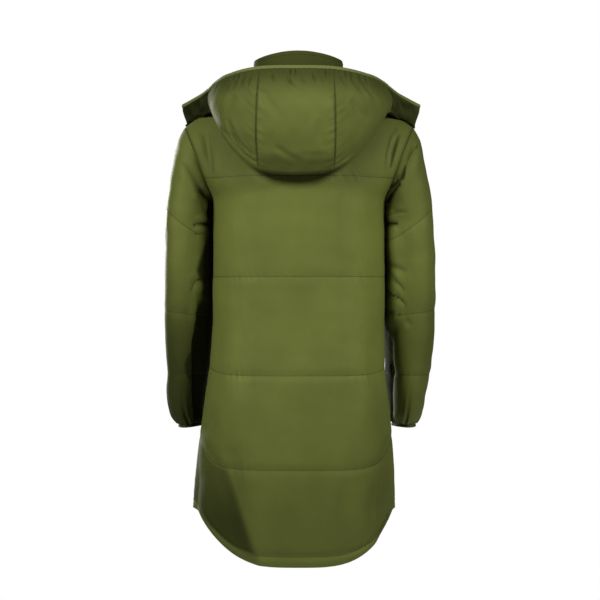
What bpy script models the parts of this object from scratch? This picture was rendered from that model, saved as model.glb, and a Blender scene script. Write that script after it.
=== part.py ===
"""Padded parka, hollow as if worn, with its hood down its back.

Metres, +Z up. The back of the coat faces +Y and the wearer's left is +X. The origin is between
the neck ends of the shoulder seams, where the coat hangs on whoever wears it.
"""

import math

import bmesh
import bpy
import numpy as np
from mathutils import Matrix, Vector
from mathutils.bvhtree import BVHTree

UP = np.array([0.0, 0.0, 1.0])

# ---------------------------------------------------------------- driving dimensions

SEAM_GAP = 0.0003           # between two pieces sewn together
WALL_AT_SEAM = 0.003        # shell, wadding and lining pressed flat by stitching
PUFF = 0.0048               # more thickness than that, midway between two quilt lines
PUFF_REACH = 0.028          # from a quilt line to where the padding is full
UNDERARM_Z = -0.235
UNDERARM_Y = -0.010
SHOULDER_TIP = (0.227, -0.005, -0.091)
ARMHOLE_HALF_DEPTH = 0.078
UNDERARM_GAP = 0.0005
NECK_HALF_WIDTH = 0.080
NECK_BACK_Y = 0.055
NECK_FRONT_Y = -0.080
NECK_FRONT_Z = -0.065
SHOULDER_CROWN = 0.005
ZIP_HALF_WIDTH = 0.006      # from the middle of the zip to each front's edge
NECK_SHARE = 0.4            # part of a half panel's top edge that is neckline, the rest is shoulder
NECK_STEPS = 4
SHOULDER_STEPS = 5


def table(names, rows):
    """A table as one array for each named column."""
    return {name: np.array(column, dtype=float) for name, column in zip(names, zip(*rows))}


# The coat's section at each height: half its width at the side seams, how far the skirt leans to
# the wearer's left, and the y of the side seam, the middle of the back and the middle of the front.
SECTIONS = table(
    ("z", "half_width", "lean", "side_y", "back_y", "front_y"),
    [
        (-0.960, 0.1995, 0.0105, 0.004, 0.147, -0.140),
        (-0.846, 0.1985, 0.0100, 0.003, 0.144, -0.137),
        (-0.774, 0.1945, 0.0085, 0.002, 0.140, -0.134),
        (-0.682, 0.1840, 0.0060, 0.000, 0.134, -0.130),
        (-0.582, 0.1710, 0.0040, -0.002, 0.127, -0.126),
        (-0.500, 0.1660, 0.0010, -0.004, 0.122, -0.123),
        (-0.386, 0.1655, 0.0000, -0.007, 0.120, -0.123),
        (-0.235, 0.1655, 0.0000, -0.010, 0.124, -0.130),
    ],
)

# Rows below the underarm: the hem, its stitching, three quilt lines and the underarm. A row is
# at back_z and front_z in the middle and rises to side_z with the given power of the sine.
LOWER_ROWS = table(
    ("level", "back_z", "side_z", "front_z", "power"),
    [
        (0, -0.948, -0.846, -0.856, 3.05),
        (1, -0.927, -0.830, -0.835, 3.45),
        (2, -0.761, -0.701, -0.706, 7.0),
        (3, -0.579, -0.566, -0.569, 8.0),
        (4, -0.386, -0.386, -0.386, 8.0),
        (5, UNDERARM_Z, UNDERARM_Z, UNDERARM_Z, 8.0),
    ],
)
UNDERARM_LEVEL = 5
BACK_SQUARENESS = 0.86      # 1 is an oval section, and less is squarer
FRONT_SQUARENESS = 0.94
QUILT_LEVELS = (1, 2, 3, 4, 5.4)

# Rows above the underarm: where each meets the armhole, as the turn from its top, and the height
# and depth of the middle of the back and of the front. The fifth is the uppermost quilt line.
YOKE_ROWS = table(
    ("level", "armhole_deg", "back_z", "back_y", "front_z", "front_y"),
    [
        (5.0, 180, -0.235, 0.124, -0.235, -0.130),
        (5.1, 160, -0.226, 0.124, -0.226, -0.130),
        (5.2, 140, -0.214, 0.124, -0.214, -0.130),
        (5.3, 119, -0.201, 0.123, -0.201, -0.130),
        (5.4, 110, -0.192, 0.123, -0.192, -0.130),
        (5.5, 101, -0.183, 0.122, -0.183, -0.130),
        (5.6, 80, -0.148, 0.117, -0.160, -0.128),
        (5.7, 60, -0.104, 0.107, -0.135, -0.123),
        (5.8, 40, -0.057, 0.091, -0.110, -0.115),
        (5.9, 20, -0.018, 0.070, -0.085, -0.100),
        (6.0, 0, 0.000, NECK_BACK_Y, NECK_FRONT_Z, NECK_FRONT_Y),
    ],
)

# The sleeve's rings, from the armhole to the wrist: the outer and inner end of each ring, the y
# of its middle, half its depth from front to back, how far the arm's turn takes its back out and
# its front in, and how far it hangs to the wearer's left.
SLEEVE_RINGS = table(
    ("station", "outer_x", "outer_z", "inner_x", "inner_z", "mid_y", "half_depth", "turned", "lean"),
    [
        (1, 0.2345, -0.115, 0.1755, -0.249, -0.0075, 0.0785, 0.004, 0.000),
        (2, 0.2425, -0.152, 0.1765, -0.267, -0.0080, 0.0790, 0.011, 0.000),
        (3, 0.2515, -0.200, 0.1750, -0.292, -0.0090, 0.0790, 0.017, 0.000),
        (4, 0.2575, -0.250, 0.1740, -0.318, -0.0105, 0.0780, 0.021, 0.000),
        (5, 0.2605, -0.300, 0.1740, -0.350, -0.0130, 0.0770, 0.023, 0.000),
        (6, 0.2625, -0.360, 0.1745, -0.390, -0.0170, 0.0750, 0.023, 0.000),
        (7, 0.2635, -0.430, 0.1755, -0.445, -0.0250, 0.0720, 0.022, 0.000),
        (8, 0.2630, -0.505, 0.1780, -0.512, -0.0360, 0.0690, 0.021, 0.001),
        (9, 0.2590, -0.570, 0.1830, -0.572, -0.0500, 0.0660, 0.018, 0.003),
        (10, 0.2540, -0.620, 0.1880, -0.620, -0.0660, 0.0630, 0.014, 0.006),
        (11, 0.2480, -0.655, 0.1935, -0.655, -0.0780, 0.0560, 0.010, 0.006),
        (12, 0.2370, -0.682, 0.1980, -0.682, -0.0840, 0.0420, 0.006, 0.004),
    ],
)
SLEEVE_QUILT_STATIONS = (4.5, 7.25, 9.15)
SLEEVE_INNER_X = 0.181

COLLAR_BACK_Z = 0.059
COLLAR_SIDE_Z = 0.045
COLLAR_FRONT_Z = 0.005
COLLAR_FLARE = 1.065        # its width at the top against its width at the neck seam
COLLAR_SHIFT = 0.0015       # how far its top leans to the wearer's left
COLLAR_LEAN = 0.012         # how far its back leans out

# Half of the hood, from the middle of its back to the free end on the shoulder: the bottom of its
# fold, its bound edge, how far the outer side bellies out, the fold's radius, and how steeply the
# side that lies on the coat comes down to the fold.
HOOD_COLUMNS = table(
    ("across", "fold_x", "fold_y", "fold_z", "edge_x", "edge_y", "edge_z", "belly", "radius", "drop"),
    [
        (0.000, 0.0000, 0.152, -0.190, 0.0000, 0.170, 0.010, 0.028, 0.0130, 0.45),
        (0.170, 0.0360, 0.152, -0.188, 0.0360, 0.169, 0.010, 0.028, 0.0130, 0.45),
        (0.333, 0.0705, 0.149, -0.181, 0.0705, 0.164, 0.009, 0.027, 0.0130, 0.45),
        (0.500, 0.1070, 0.139, -0.158, 0.1050, 0.150, 0.005, 0.023, 0.0120, 0.42),
        (0.650, 0.1380, 0.122, -0.121, 0.1310, 0.130, 0.000, 0.018, 0.0100, 0.36),
        (0.780, 0.1590, 0.096, -0.083, 0.1520, 0.098, -0.004, 0.012, 0.0080, 0.28),
        (0.870, 0.1720, 0.058, -0.058, 0.1710, 0.060, -0.012, 0.007, 0.0060, 0.20),
        (0.940, 0.1930, 0.018, -0.066, 0.1970, 0.018, -0.029, 0.003, 0.0050, 0.14),
        (1.000, 0.2230, -0.014, -0.079, 0.2350, -0.014, -0.047, 0.000, 0.0040, 0.10),
    ],
)
HOOD_SHIFT = 0.006          # the hood hangs this far to the wearer's left
HOOD_WALL = 0.0036
HOOD_PUFF = 0.003
HOOD_REST = 0.0060          # from the coat's outside to the middle of the hood's wall
HOOD_SPLIT = 3              # hood columns to each collar column
HOOD_FRONT_STEPS = 1        # collar columns that it runs forward of each shoulder seam
HOOD_SEAM_COLUMN = 5        # columns from the middle to each seam of the centre strip

BINDING_GAP = 0.0005
BINDING_HEIGHT = 0.0060
BINDING_HALF_THICK = 0.0028

ZIP_TAPE_THICK = 0.0014
SLIDER_Z = -0.016
SLIDER_HALF = (0.0050, 0.0060, 0.00075)     # half its width, height and plate thickness
BRIDGE_HALF = (0.0015, 0.0026, 0.0042)
BRIDGE_WALL = 0.0011
PULL_PIVOT_OUT = 0.0018     # from the plate's face to the middle of the pull's crossbar
PULL_HALF_WIDTH = 0.0035
PULL_LENGTH = 0.030
PULL_HALF_THICK = 0.0008
PULL_BAR_HALF = 0.0009
PULL_WINDOW = (0.0022, 0.0074)              # half the width, and the far end, of its window

# The largest folds, on the outside: start and end in x and z, half the width, and the depth
# (a ridge is less than nothing).
BACK_FOLDS = table(
    ("x0", "z0", "x1", "z1", "width", "depth"),
    [
        (0.118, -0.950, 0.128, -0.800, 0.018, 0.0030),
        (-0.090, -0.930, -0.120, -0.780, 0.020, 0.0030),
        (0.020, -0.250, 0.008, -0.480, 0.020, 0.0014),
        (-0.055, -0.250, -0.040, -0.430, 0.018, 0.0014),
        (0.150, -0.850, 0.165, -0.700, 0.014, -0.0020),
    ],
)
FRONT_FOLDS = table(
    ("x0", "z0", "x1", "z1", "width", "depth"),
    [
        (0.095, -0.840, 0.085, -0.690, 0.018, 0.0030),
        (-0.110, -0.830, -0.095, -0.670, 0.018, 0.0030),
        (0.060, -0.300, 0.120, -0.230, 0.016, 0.0020),
        (-0.060, -0.320, -0.120, -0.240, 0.016, 0.0020),
    ],
)
SLEEVE_FOLDS = table(
    ("side", "y0", "z0", "y1", "z1", "width", "depth"),
    [
        (1, -0.060, -0.330, 0.045, -0.300, 0.012, 0.0035),
        (1, -0.070, -0.390, 0.040, -0.375, 0.012, 0.0035),
        (-1, -0.050, -0.370, 0.060, -0.345, 0.012, 0.0035),
        (-1, -0.070, -0.430, 0.050, -0.405, 0.012, 0.0030),
    ],
)

SHELL_COLOR = (0.118, 0.145, 0.040)
BINDING_COLOR = (0.150, 0.180, 0.060)
TAPE_COLOR = (0.040, 0.048, 0.018)
METAL_COLOR = (0.070, 0.070, 0.060)


# ---------------------------------------------------------------- small helpers

def read_table(rows, key, column, at):
    """The column's value where the key column is `at`: a cubic whose slopes come from neighbours."""
    keys = rows[key]
    values = rows[column]
    at = np.clip(np.asarray(at, dtype=float), keys[0], keys[-1])
    slopes = np.gradient(values, keys)
    i = np.clip(np.searchsorted(keys, at, side="right") - 1, 0, len(keys) - 2)
    width = keys[i + 1] - keys[i]
    t = (at - keys[i]) / width
    start = (2 * t**3 - 3 * t**2 + 1) * values[i] + (t**3 - 2 * t**2 + t) * width * slopes[i]
    end = (3 * t**2 - 2 * t**3) * values[i + 1] + (t**3 - t**2) * width * slopes[i + 1]
    return start + end


def unit(vectors):
    """Vectors scaled to length 1."""
    return vectors / np.maximum(np.linalg.norm(vectors, axis=-1, keepdims=True), 1e-12)


def ease(t):
    """0 to 1 with level ends."""
    t = np.clip(t, 0.0, 1.0)
    return t * t * (3 - 2 * t)


def fold_depth(folds, sideways, across, height):
    """Sum of soft troughs round straight creases in the plane of `across` and `height`. The folds'
    own `across` is in the columns that start with `sideways`."""
    total = np.zeros(np.shape(across))
    for i in range(len(folds["depth"])):
        start = np.array([folds[sideways + "0"][i], folds["z0"][i]])
        run = np.array([folds[sideways + "1"][i], folds["z1"][i]]) - start
        offset = np.stack([across, height], axis=-1) - start
        along = np.clip(offset @ run / (run @ run), 0.0, 1.0)
        gap = np.linalg.norm(offset - along[..., None] * run, axis=-1)
        fade = np.sqrt(np.sin(math.pi * np.clip(along, 0.1, 0.9)))
        total += folds["depth"][i] * fade * np.exp(-((gap / folds["width"][i]) ** 2))
    return total


def normals_of(grid, closed):
    """Unit normals of a grid of points, from the differences along its rows and columns."""
    down = np.gradient(grid, axis=0)
    if closed:
        around = np.roll(grid, -1, axis=1) - np.roll(grid, 1, axis=1)
    else:
        around = np.gradient(grid, axis=1)
    return unit(np.cross(around, down))


def armhole_direction(side, degrees):
    """Away from the armhole's middle, but never towards the coat, so both walls there stay clear."""
    loop = armhole(side, np.append(degrees, [0, 180]))
    away = loop[:-2] - (loop[-2] + loop[-1]) / 2
    away[:, 0] = side * np.maximum(side * away[:, 0], 0)
    return unit(away)


def share_normals(grids, normals):
    """Where pieces meet at a seam, both walls thicken in the mean of their directions."""
    sums = {}
    for name, grid in grids.items():
        keys = np.round(grid * 1e5).astype(int)
        for index in np.ndindex(grid.shape[:2]):
            key = tuple(keys[index])
            sums[key] = sums.get(key, 0) + normals[name][index]
    for name, grid in grids.items():
        keys = np.round(grid * 1e5).astype(int)
        for index in np.ndindex(grid.shape[:2]):
            normals[name][index] = unit(sums[tuple(keys[index])])


def trimmed(grid, closed):
    """The grid with its edges drawn in by half a seam gap."""
    grid = grid.copy()
    step = SEAM_GAP / 2
    grid[0] += step * unit(grid[1] - grid[0])
    grid[-1] += step * unit(grid[-2] - grid[-1])
    if not closed:
        grid[:, 0] += step * unit(grid[:, 1] - grid[:, 0])
        grid[:, -1] += step * unit(grid[:, -2] - grid[:, -1])
    return grid


def material(name, color, roughness, metallic):
    made = bpy.data.materials.new(name)
    made.use_nodes = True
    shader = made.node_tree.nodes["Principled BSDF"]
    shader.inputs["Base Color"].default_value = (*color, 1.0)
    shader.inputs["Roughness"].default_value = roughness
    shader.inputs["Metallic"].default_value = metallic
    return made


def mesh_object(name, points, faces, look):
    """A closed mesh as an object of the coat, its faces turned outwards and shaded smooth."""
    mesh = bpy.data.meshes.new(name)
    mesh.from_pydata(np.asarray(points).tolist(), [], faces)
    work = bmesh.new()
    work.from_mesh(mesh)
    bmesh.ops.recalc_face_normals(work, faces=work.faces)
    work.to_mesh(mesh)
    work.free()
    mesh.shade_smooth()
    mesh.set_sharp_from_angle(angle=math.radians(40))
    mesh.materials.append(material(name, *look))
    made = bpy.data.objects.new(name, mesh)
    coat.objects.link(made)
    return made


def wall(name, inside, outside, closed, look):
    """A closed wall between two grids of the same size, joined round their edges."""
    rows, columns = inside.shape[:2]
    points = np.concatenate([inside.reshape(-1, 3), outside.reshape(-1, 3)])
    size = rows * columns
    faces = []
    for row in range(rows - 1):
        for column in range(columns if closed else columns - 1):
            beside = (column + 1) % columns
            a = row * columns + column
            b = row * columns + beside
            faces.append((a, b, b + columns, a + columns))
            faces.append((size + a, size + a + columns, size + b + columns, size + b))
    for row in (0, rows - 1):
        for column in range(columns if closed else columns - 1):
            a = row * columns + column
            b = row * columns + (column + 1) % columns
            faces.append((a, b, size + b, size + a))
    if not closed:
        for column in (0, columns - 1):
            for row in range(rows - 1):
                a = row * columns + column
                b = a + columns
                faces.append((a, b, size + b, size + a))
    return mesh_object(name, points, faces, look)


def strip(name, sections, closed, look):
    """A closed bar through sections that are given as an array (places, corners, 3)."""
    places, corners = sections.shape[:2]
    faces = []
    for place in range(places if closed else places - 1):
        ahead = (place + 1) % places
        for corner in range(corners):
            turn = (corner + 1) % corners
            faces.append((place * corners + corner, place * corners + turn,
                          ahead * corners + turn, ahead * corners + corner))
    if not closed:
        faces.append(tuple(range(corners)))
        faces.append(tuple(range((places - 1) * corners, places * corners)))
    return mesh_object(name, sections.reshape(-1, 3), faces, look)


# ---------------------------------------------------------------- the shape of the coat

def armhole(side, degrees):
    """The armhole seam: a tilted oval from the shoulder tip (0) round the back (90) to the
    underarm (180) and up the front."""
    turn = np.radians(degrees)
    tip = np.array(SHOULDER_TIP)
    bottom = np.array([float(read_table(SECTIONS, "z", "half_width", UNDERARM_Z)), UNDERARM_Y, UNDERARM_Z])
    middle = (tip + bottom) / 2
    points = (middle + np.cos(turn)[..., None] * (tip - bottom) / 2
              + np.sin(turn)[..., None] * np.array([0.0, ARMHOLE_HALF_DEPTH, 0.0]))
    return points * np.array([side, 1.0, 1.0])


def top_edge(across, front):
    """Half of a panel's top edge, for +X: the neckline as a quarter oval, then the shoulder."""
    turn = np.clip(across / NECK_SHARE, 0, 1) * math.pi / 2
    edge = ZIP_HALF_WIDTH if front else 0.0
    x = edge + (NECK_HALF_WIDTH - edge) * np.sin(turn)
    y = (NECK_FRONT_Y if front else NECK_BACK_Y) * np.cos(turn)
    z = (NECK_FRONT_Z if front else 0.0) * np.cos(turn) ** 2
    out = np.clip((across - NECK_SHARE) / (1 - NECK_SHARE), 0, 1)
    x = x + out * (SHOULDER_TIP[0] - NECK_HALF_WIDTH)
    y = y + out * SHOULDER_TIP[1]
    z = z + out * SHOULDER_TIP[2] + SHOULDER_CROWN * np.sin(math.pi * out)
    return np.stack([x, y, z], axis=-1)


def half_row(side, front, level, across):
    """Half of one row of the coat, from its middle (0) to the side seam or armhole (1).

    Below the underarm it is a quarter of a slightly squared oval. Above, it turns from that oval
    into the top edge, and is drawn to the armhole at its end and to the middle line at its start.
    """
    face = "front" if front else "back"
    turn = across * math.pi / 2
    edge = ZIP_HALF_WIDTH if front else 0.0
    low = min(level, UNDERARM_LEVEL)
    middle_z = np.interp(low, LOWER_ROWS["level"], LOWER_ROWS[face + "_z"])
    side_z = np.interp(low, LOWER_ROWS["level"], LOWER_ROWS["side_z"])
    power = np.interp(low, LOWER_ROWS["level"], LOWER_ROWS["power"])
    z = middle_z + (side_z - middle_z) * np.sin(turn) ** (2 if front else power)
    half_width = read_table(SECTIONS, "z", "half_width", z)
    side_y = read_table(SECTIONS, "z", "side_y", z)
    middle_y = read_table(SECTIONS, "z", face + "_y", z)
    lean = read_table(SECTIONS, "z", "lean", z)
    squareness = FRONT_SQUARENESS if front else BACK_SQUARENESS
    x = edge + (half_width - edge) * np.sin(turn) ** squareness
    y = side_y + (middle_y - side_y) * np.cos(turn) ** squareness
    row = np.stack([side * x + lean * (x / half_width) ** 2, y, z], axis=-1)
    if level <= UNDERARM_LEVEL:
        return row

    flip = np.array([side, 1.0, 1.0])
    top = top_edge(across, front) * flip
    height = read_table(YOKE_ROWS, "level", face + "_z", level)
    depth = read_table(YOKE_ROWS, "level", face + "_y", level)
    degrees = read_table(YOKE_ROWS, "level", "armhole_deg", level)
    end = armhole(side, np.array(360 - degrees if front else degrees))
    share = (height - UNDERARM_Z) / (YOKE_ROWS[face + "_z"][-1] - UNDERARM_Z)
    row = row + (top - row) * np.array([share, share**3, share])
    near_end = (across**3)[:, None]
    start = np.array([side * edge, depth, height])
    return row + near_end * (end - row[-1]) + (1 - near_end) * (start - row[0])


def panel_levels():
    """Row levels: close together beside each quilt line, wide apart between them."""
    levels = [0.0, 0.5]
    for line in range(1, UNDERARM_LEVEL):
        height = abs(LOWER_ROWS["back_z"][line + 1] - LOWER_ROWS["back_z"][line])
        near = 0.010 / height
        far = 0.036 / height
        if line + 1 < UNDERARM_LEVEL:
            steps = (0, near, far, 0.5, 1 - far, 1 - near)
        else:
            steps = (0, near, far, 0.5, 0.75)
        levels += [line + step for step in steps]
    return np.array(levels + list(YOKE_ROWS["level"]))


def quilt_rise(levels):
    """0 on a quilt line and 1 in full padding, for each row, from the distance to the lines."""
    heights = np.array([float(np.interp(v, LOWER_ROWS["level"], LOWER_ROWS["back_z"]))
                        if v <= UNDERARM_LEVEL
                        else float(read_table(YOKE_ROWS, "level", "back_z", v)) for v in levels])
    lines = np.interp(QUILT_LEVELS, levels, heights)
    gaps = np.abs(heights[:, None] - lines[None, :]).min(axis=1)
    gaps = np.minimum(gaps, np.abs(heights - heights[0]) * 2)
    gaps = np.minimum(gaps, np.abs(heights - heights[-1]) * 2)
    return np.sqrt(ease(gaps / PUFF_REACH))


def rise_from(grid, seam):
    """0 on a seam and 1 where the padding is full, from each point's distance to the seam's points."""
    gaps = np.linalg.norm(grid[:, :, None] - seam[None, None], axis=-1).min(axis=-1)
    return np.sqrt(ease(gaps / PUFF_REACH))


def edge_rise(grid):
    """The same for the two side edges of a panel."""
    return rise_from(grid, np.concatenate([grid[:, 0], grid[:, -1]]))


def across_steps():
    neck = np.linspace(0, NECK_SHARE, NECK_STEPS + 1)
    shoulder = np.linspace(NECK_SHARE, 1, SHOULDER_STEPS + 1)
    return np.concatenate([neck, shoulder[1:]])


def half_panel(side, front):
    steps = across_steps()
    return np.stack([half_row(side, front, level, steps) for level in panel_levels()])


def back_panel():
    """The whole back: its two halves, from the wearer's left side seam to the right one."""
    left = half_panel(1, False)[:, ::-1]
    right = half_panel(-1, False)
    left[:, -1] = (left[:, -1] + right[:, 0]) / 2
    return np.concatenate([left, right[:, 1:]], axis=1)


def sleeve_turns():
    """The turns at which the coat's rows meet the armhole, from its top right round it."""
    rear = YOKE_ROWS["armhole_deg"][::-1]
    return np.concatenate([rear, (360 - rear[::-1])[1:-1]])


def sleeve(side):
    """The sleeve's rings, whose first one is the armhole. A ring starts at its outer end."""
    degrees = sleeve_turns()
    near = 0.16
    stations = [1.0, 2.0, 3.0, 3.8]
    for line, far in zip(SLEEVE_QUILT_STATIONS, (0.62, 0.5, 0.55)):
        stations += [line - near, line, line + near, line + far]
        if line == SLEEVE_QUILT_STATIONS[0]:
            stations += [6.0, 6.7]
        elif line == SLEEVE_QUILT_STATIONS[1]:
            stations += [8.4]
    stations += [10.4, 11.0, 11.5, 12.0]
    turn = np.radians(degrees)
    clear = UNDERARM_GAP * (1 - np.cos(turn)) / 2
    rings = [armhole(1, degrees) + clear[:, None] * np.array([1.0, 0.0, 0.0])]
    for station in stations:
        outer = np.array([float(read_table(SLEEVE_RINGS, "station", "outer_x", station)), 0,
                          float(read_table(SLEEVE_RINGS, "station", "outer_z", station))])
        inner = np.array([float(read_table(SLEEVE_RINGS, "station", "inner_x", station)), 0,
                          float(read_table(SLEEVE_RINGS, "station", "inner_z", station))])
        middle = (outer + inner) / 2
        middle[1] = float(read_table(SLEEVE_RINGS, "station", "mid_y", station))
        depth = float(read_table(SLEEVE_RINGS, "station", "half_depth", station))
        turned = float(read_table(SLEEVE_RINGS, "station", "turned", station))
        reach = (outer - inner) / 2
        reach[0] = math.sqrt(reach[0] ** 2 - turned**2)
        rings.append(middle + np.cos(turn)[:, None] * reach
                     + np.sin(turn)[:, None] * np.array([turned, depth, 0.0]))
    stations = np.array([0.0] + stations)
    lean = read_table(SLEEVE_RINGS, "station", "lean", stations)
    rings = np.stack(rings) * np.array([side, 1.0, 1.0])
    rings[..., 0] += lean[:, None]
    return rings, stations


def collar_grid(fronts, back):
    """The stand collar: the neckline, and the same line flared and raised to the collar's top."""
    left = fronts[1][-1, :NECK_STEPS + 1]
    right = fronts[-1][-1, :NECK_STEPS + 1]
    start = SHOULDER_STEPS
    rear = back[-1, start:start + 2 * NECK_STEPS + 1]
    line = np.concatenate([left, rear[1:-1], right[::-1]])
    backness = np.clip(line[:, 1] / NECK_BACK_Y, 0, 1)
    frontness = np.clip(line[:, 1] / NECK_FRONT_Y, 0, 1)
    top = line.copy()
    top[:, 0] = np.where(np.abs(line[:, 0]) > 2 * ZIP_HALF_WIDTH, line[:, 0] * COLLAR_FLARE, line[:, 0])
    top[:, 0] += COLLAR_SHIFT * (1 - frontness)
    top[:, 1] += COLLAR_LEAN * backness - 0.5 * COLLAR_LEAN * frontness
    top[:, 2] = (COLLAR_SIDE_Z + (COLLAR_BACK_Z - COLLAR_SIDE_Z) * backness**2
                 + (COLLAR_FRONT_Z - COLLAR_SIDE_Z) * frontness**1.5)
    shares = np.array([0.0, 0.18, 0.42, 0.72, 1.0])[:, None, None]
    return line + (top - line) * shares


def curve(points, count):
    """`count` steps along the cubic Bezier curve of four control points."""
    t = np.linspace(0, 1, count + 1)[:, None]
    a, b, c, d = points
    return (1 - t) ** 3 * a + 3 * (1 - t) ** 2 * t * b + 3 * (1 - t) * t**2 * c + t**3 * d


def hood_grid(collar_outside, coat_tree):
    """The hood's wall as a grid from the neck, down over the coat, round its fold and up to the
    bound edge. Its columns start on the collar. Returns the grid and the first row's direction."""
    first = NECK_STEPS - HOOD_FRONT_STEPS
    spans = 2 * (NECK_STEPS + HOOD_FRONT_STEPS)
    count = spans * HOOD_SPLIT
    place = first + np.arange(count + 1) / HOOD_SPLIT
    low = np.minimum(place.astype(int), first + spans - 1)
    part = (place - low)[:, None]
    lower = collar_outside[1, low] * (1 - part) + collar_outside[1, low + 1] * part
    upper = collar_outside[2, low] * (1 - part) + collar_outside[2, low + 1] * part
    stand = unit(upper - lower)
    along = np.gradient(lower, axis=0)
    away = unit(np.cross(stand, along))
    away *= np.sign(np.sum(away * (lower - lower.mean(axis=0)), axis=1))[:, None]
    neck = (lower + upper) / 2 + away * (SEAM_GAP + 0.0001)

    signed = 1 - 2 * np.arange(count + 1) / count
    across = np.abs(signed)
    side = np.where(signed >= 0, 1.0, -1.0)
    read = {name: read_table(HOOD_COLUMNS, "across", name, across) for name in HOOD_COLUMNS}
    shift = HOOD_SHIFT * (1 - 1.7 * across**2)
    fold = np.stack([side * read["fold_x"] + shift, read["fold_y"], read["fold_z"]], axis=-1)
    edge = np.stack([side * read["edge_x"] + shift, read["edge_y"], read["edge_z"]], axis=-1)
    columns = []
    for j in range(count + 1):
        out = unit((fold[j] - neck[j]) * np.array([1.0, 1.0, 0.0]))
        radius = read["radius"][j]
        centre = fold[j] + UP * radius
        near, far = centre - out * radius, centre + out * radius
        length = np.linalg.norm(near - neck[j])
        height = np.linalg.norm(edge[j] - far)
        lying = curve((neck[j], neck[j] + away[j] * length * 0.33,
                       near + UP * length * read["drop"][j], near), 6)
        swing = np.linspace(0, math.pi, 4)[1:-1, None]
        bottom = centre - radius * (np.cos(swing) * out + np.sin(swing) * UP)
        rising = curve((far, far + UP * height * 0.3 + out * read["belly"][j],
                        edge[j] - UP * height * 0.3 + out * read["belly"][j], edge[j]), 6)
        columns.append(np.concatenate([lying, bottom, rising]))
    grid = np.stack(columns, axis=1)
    for index in np.ndindex(grid.shape[:2]):
        if index[0] < 2:
            continue
        found, normal, _, _ = coat_tree.find_nearest(Vector(grid[index]))
        gap = (Vector(grid[index]) - found).dot(normal)
        if gap < HOOD_REST:
            grid[index] = np.array(found + normal * HOOD_REST)
    return grid, -stand


def binding_sections(edge, before, normal):
    """Sections of a binding that continues a wall's edge: `edge` points, the row before them, and
    the wall's normals there."""
    ahead = unit(edge - before)
    corners = ((0.0, -1.0), (0.0, 1.0), (0.55, 1.15), (1.0, 0.4), (1.0, -0.4), (0.55, -1.15))
    return np.stack([edge + ahead * (BINDING_GAP + BINDING_HEIGHT * up) + normal * BINDING_HALF_THICK * out
                     for up, out in corners], axis=1)


def box_mesh(half, centre):
    """A box as a bmesh, from its half sizes and centre."""
    work = bmesh.new()
    bmesh.ops.create_cube(work, size=2.0)
    bmesh.ops.scale(work, vec=half, verts=work.verts)
    bmesh.ops.translate(work, vec=centre, verts=work.verts)
    return work


def box_object(name, half, centre, home):
    mesh = bpy.data.meshes.new(name)
    work = box_mesh(half, centre)
    work.to_mesh(mesh)
    work.free()
    made = bpy.data.objects.new(name, mesh)
    home.objects.link(made)
    return made


def boolean(target, other, operation):
    change = target.modifiers.new(operation, "BOOLEAN")
    change.object = other
    change.operation = operation


# ---------------------------------------------------------------- the pieces

for old in list(bpy.data.objects):
    bpy.data.objects.remove(old, do_unlink=True)

coat = bpy.data.collections.new("padded_parka")
cutters = bpy.data.collections.new("cutters")
bpy.context.scene.collection.children.link(coat)
bpy.context.scene.collection.children.link(cutters)

SHELL = (SHELL_COLOR, 0.45, 0.0)
BINDING = (BINDING_COLOR, 0.6, 0.0)
TAPE = (TAPE_COLOR, 0.8, 0.0)
METAL = (METAL_COLOR, 0.35, 1.0)

levels = panel_levels()
back = back_panel()
fronts = {side: half_panel(side, True) for side in (1, -1)}
sleeves = {}
stations = None
for side in (1, -1):
    sleeves[side], stations = sleeve(side)
collar = collar_grid(fronts, back)

grids = {"back": back, "front_left": fronts[1], "front_right": fronts[-1],
         "sleeve_left": sleeves[1], "sleeve_right": sleeves[-1], "collar": collar}
turned = {"back": 1, "front_left": 1, "front_right": -1, "sleeve_left": 1, "sleeve_right": -1, "collar": 1}
tubes = ("sleeve_left", "sleeve_right")
normals = {name: normals_of(grid, name in tubes) for name, grid in grids.items()}
for name, grid in grids.items():
    centre = grid.mean(axis=1, keepdims=True)
    outward = np.sign(np.sum(normals[name] * (grid - centre)))
    normals[name] *= outward
share_normals(grids, normals)
body_turns = YOKE_ROWS["armhole_deg"]
yoke = len(body_turns)
for side, name in ((1, "left"), (-1, "right")):
    column = 0 if side == 1 else -1
    normals["back"][-yoke:, column] = armhole_direction(side, body_turns)
    normals["front_" + name][-yoke:, -1] = armhole_direction(side, 360 - body_turns)
    normals["sleeve_" + name][0] = armhole_direction(side, sleeve_turns())
for name in ("front_left", "front_right"):
    normals[name][:, 0, 0] = 0
    normals[name] = unit(normals[name])
for column in (0, -1):
    normals["collar"][:, column, 0] = 0
normals["collar"] = unit(normals["collar"])

collar[0] += UP * SEAM_GAP

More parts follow.
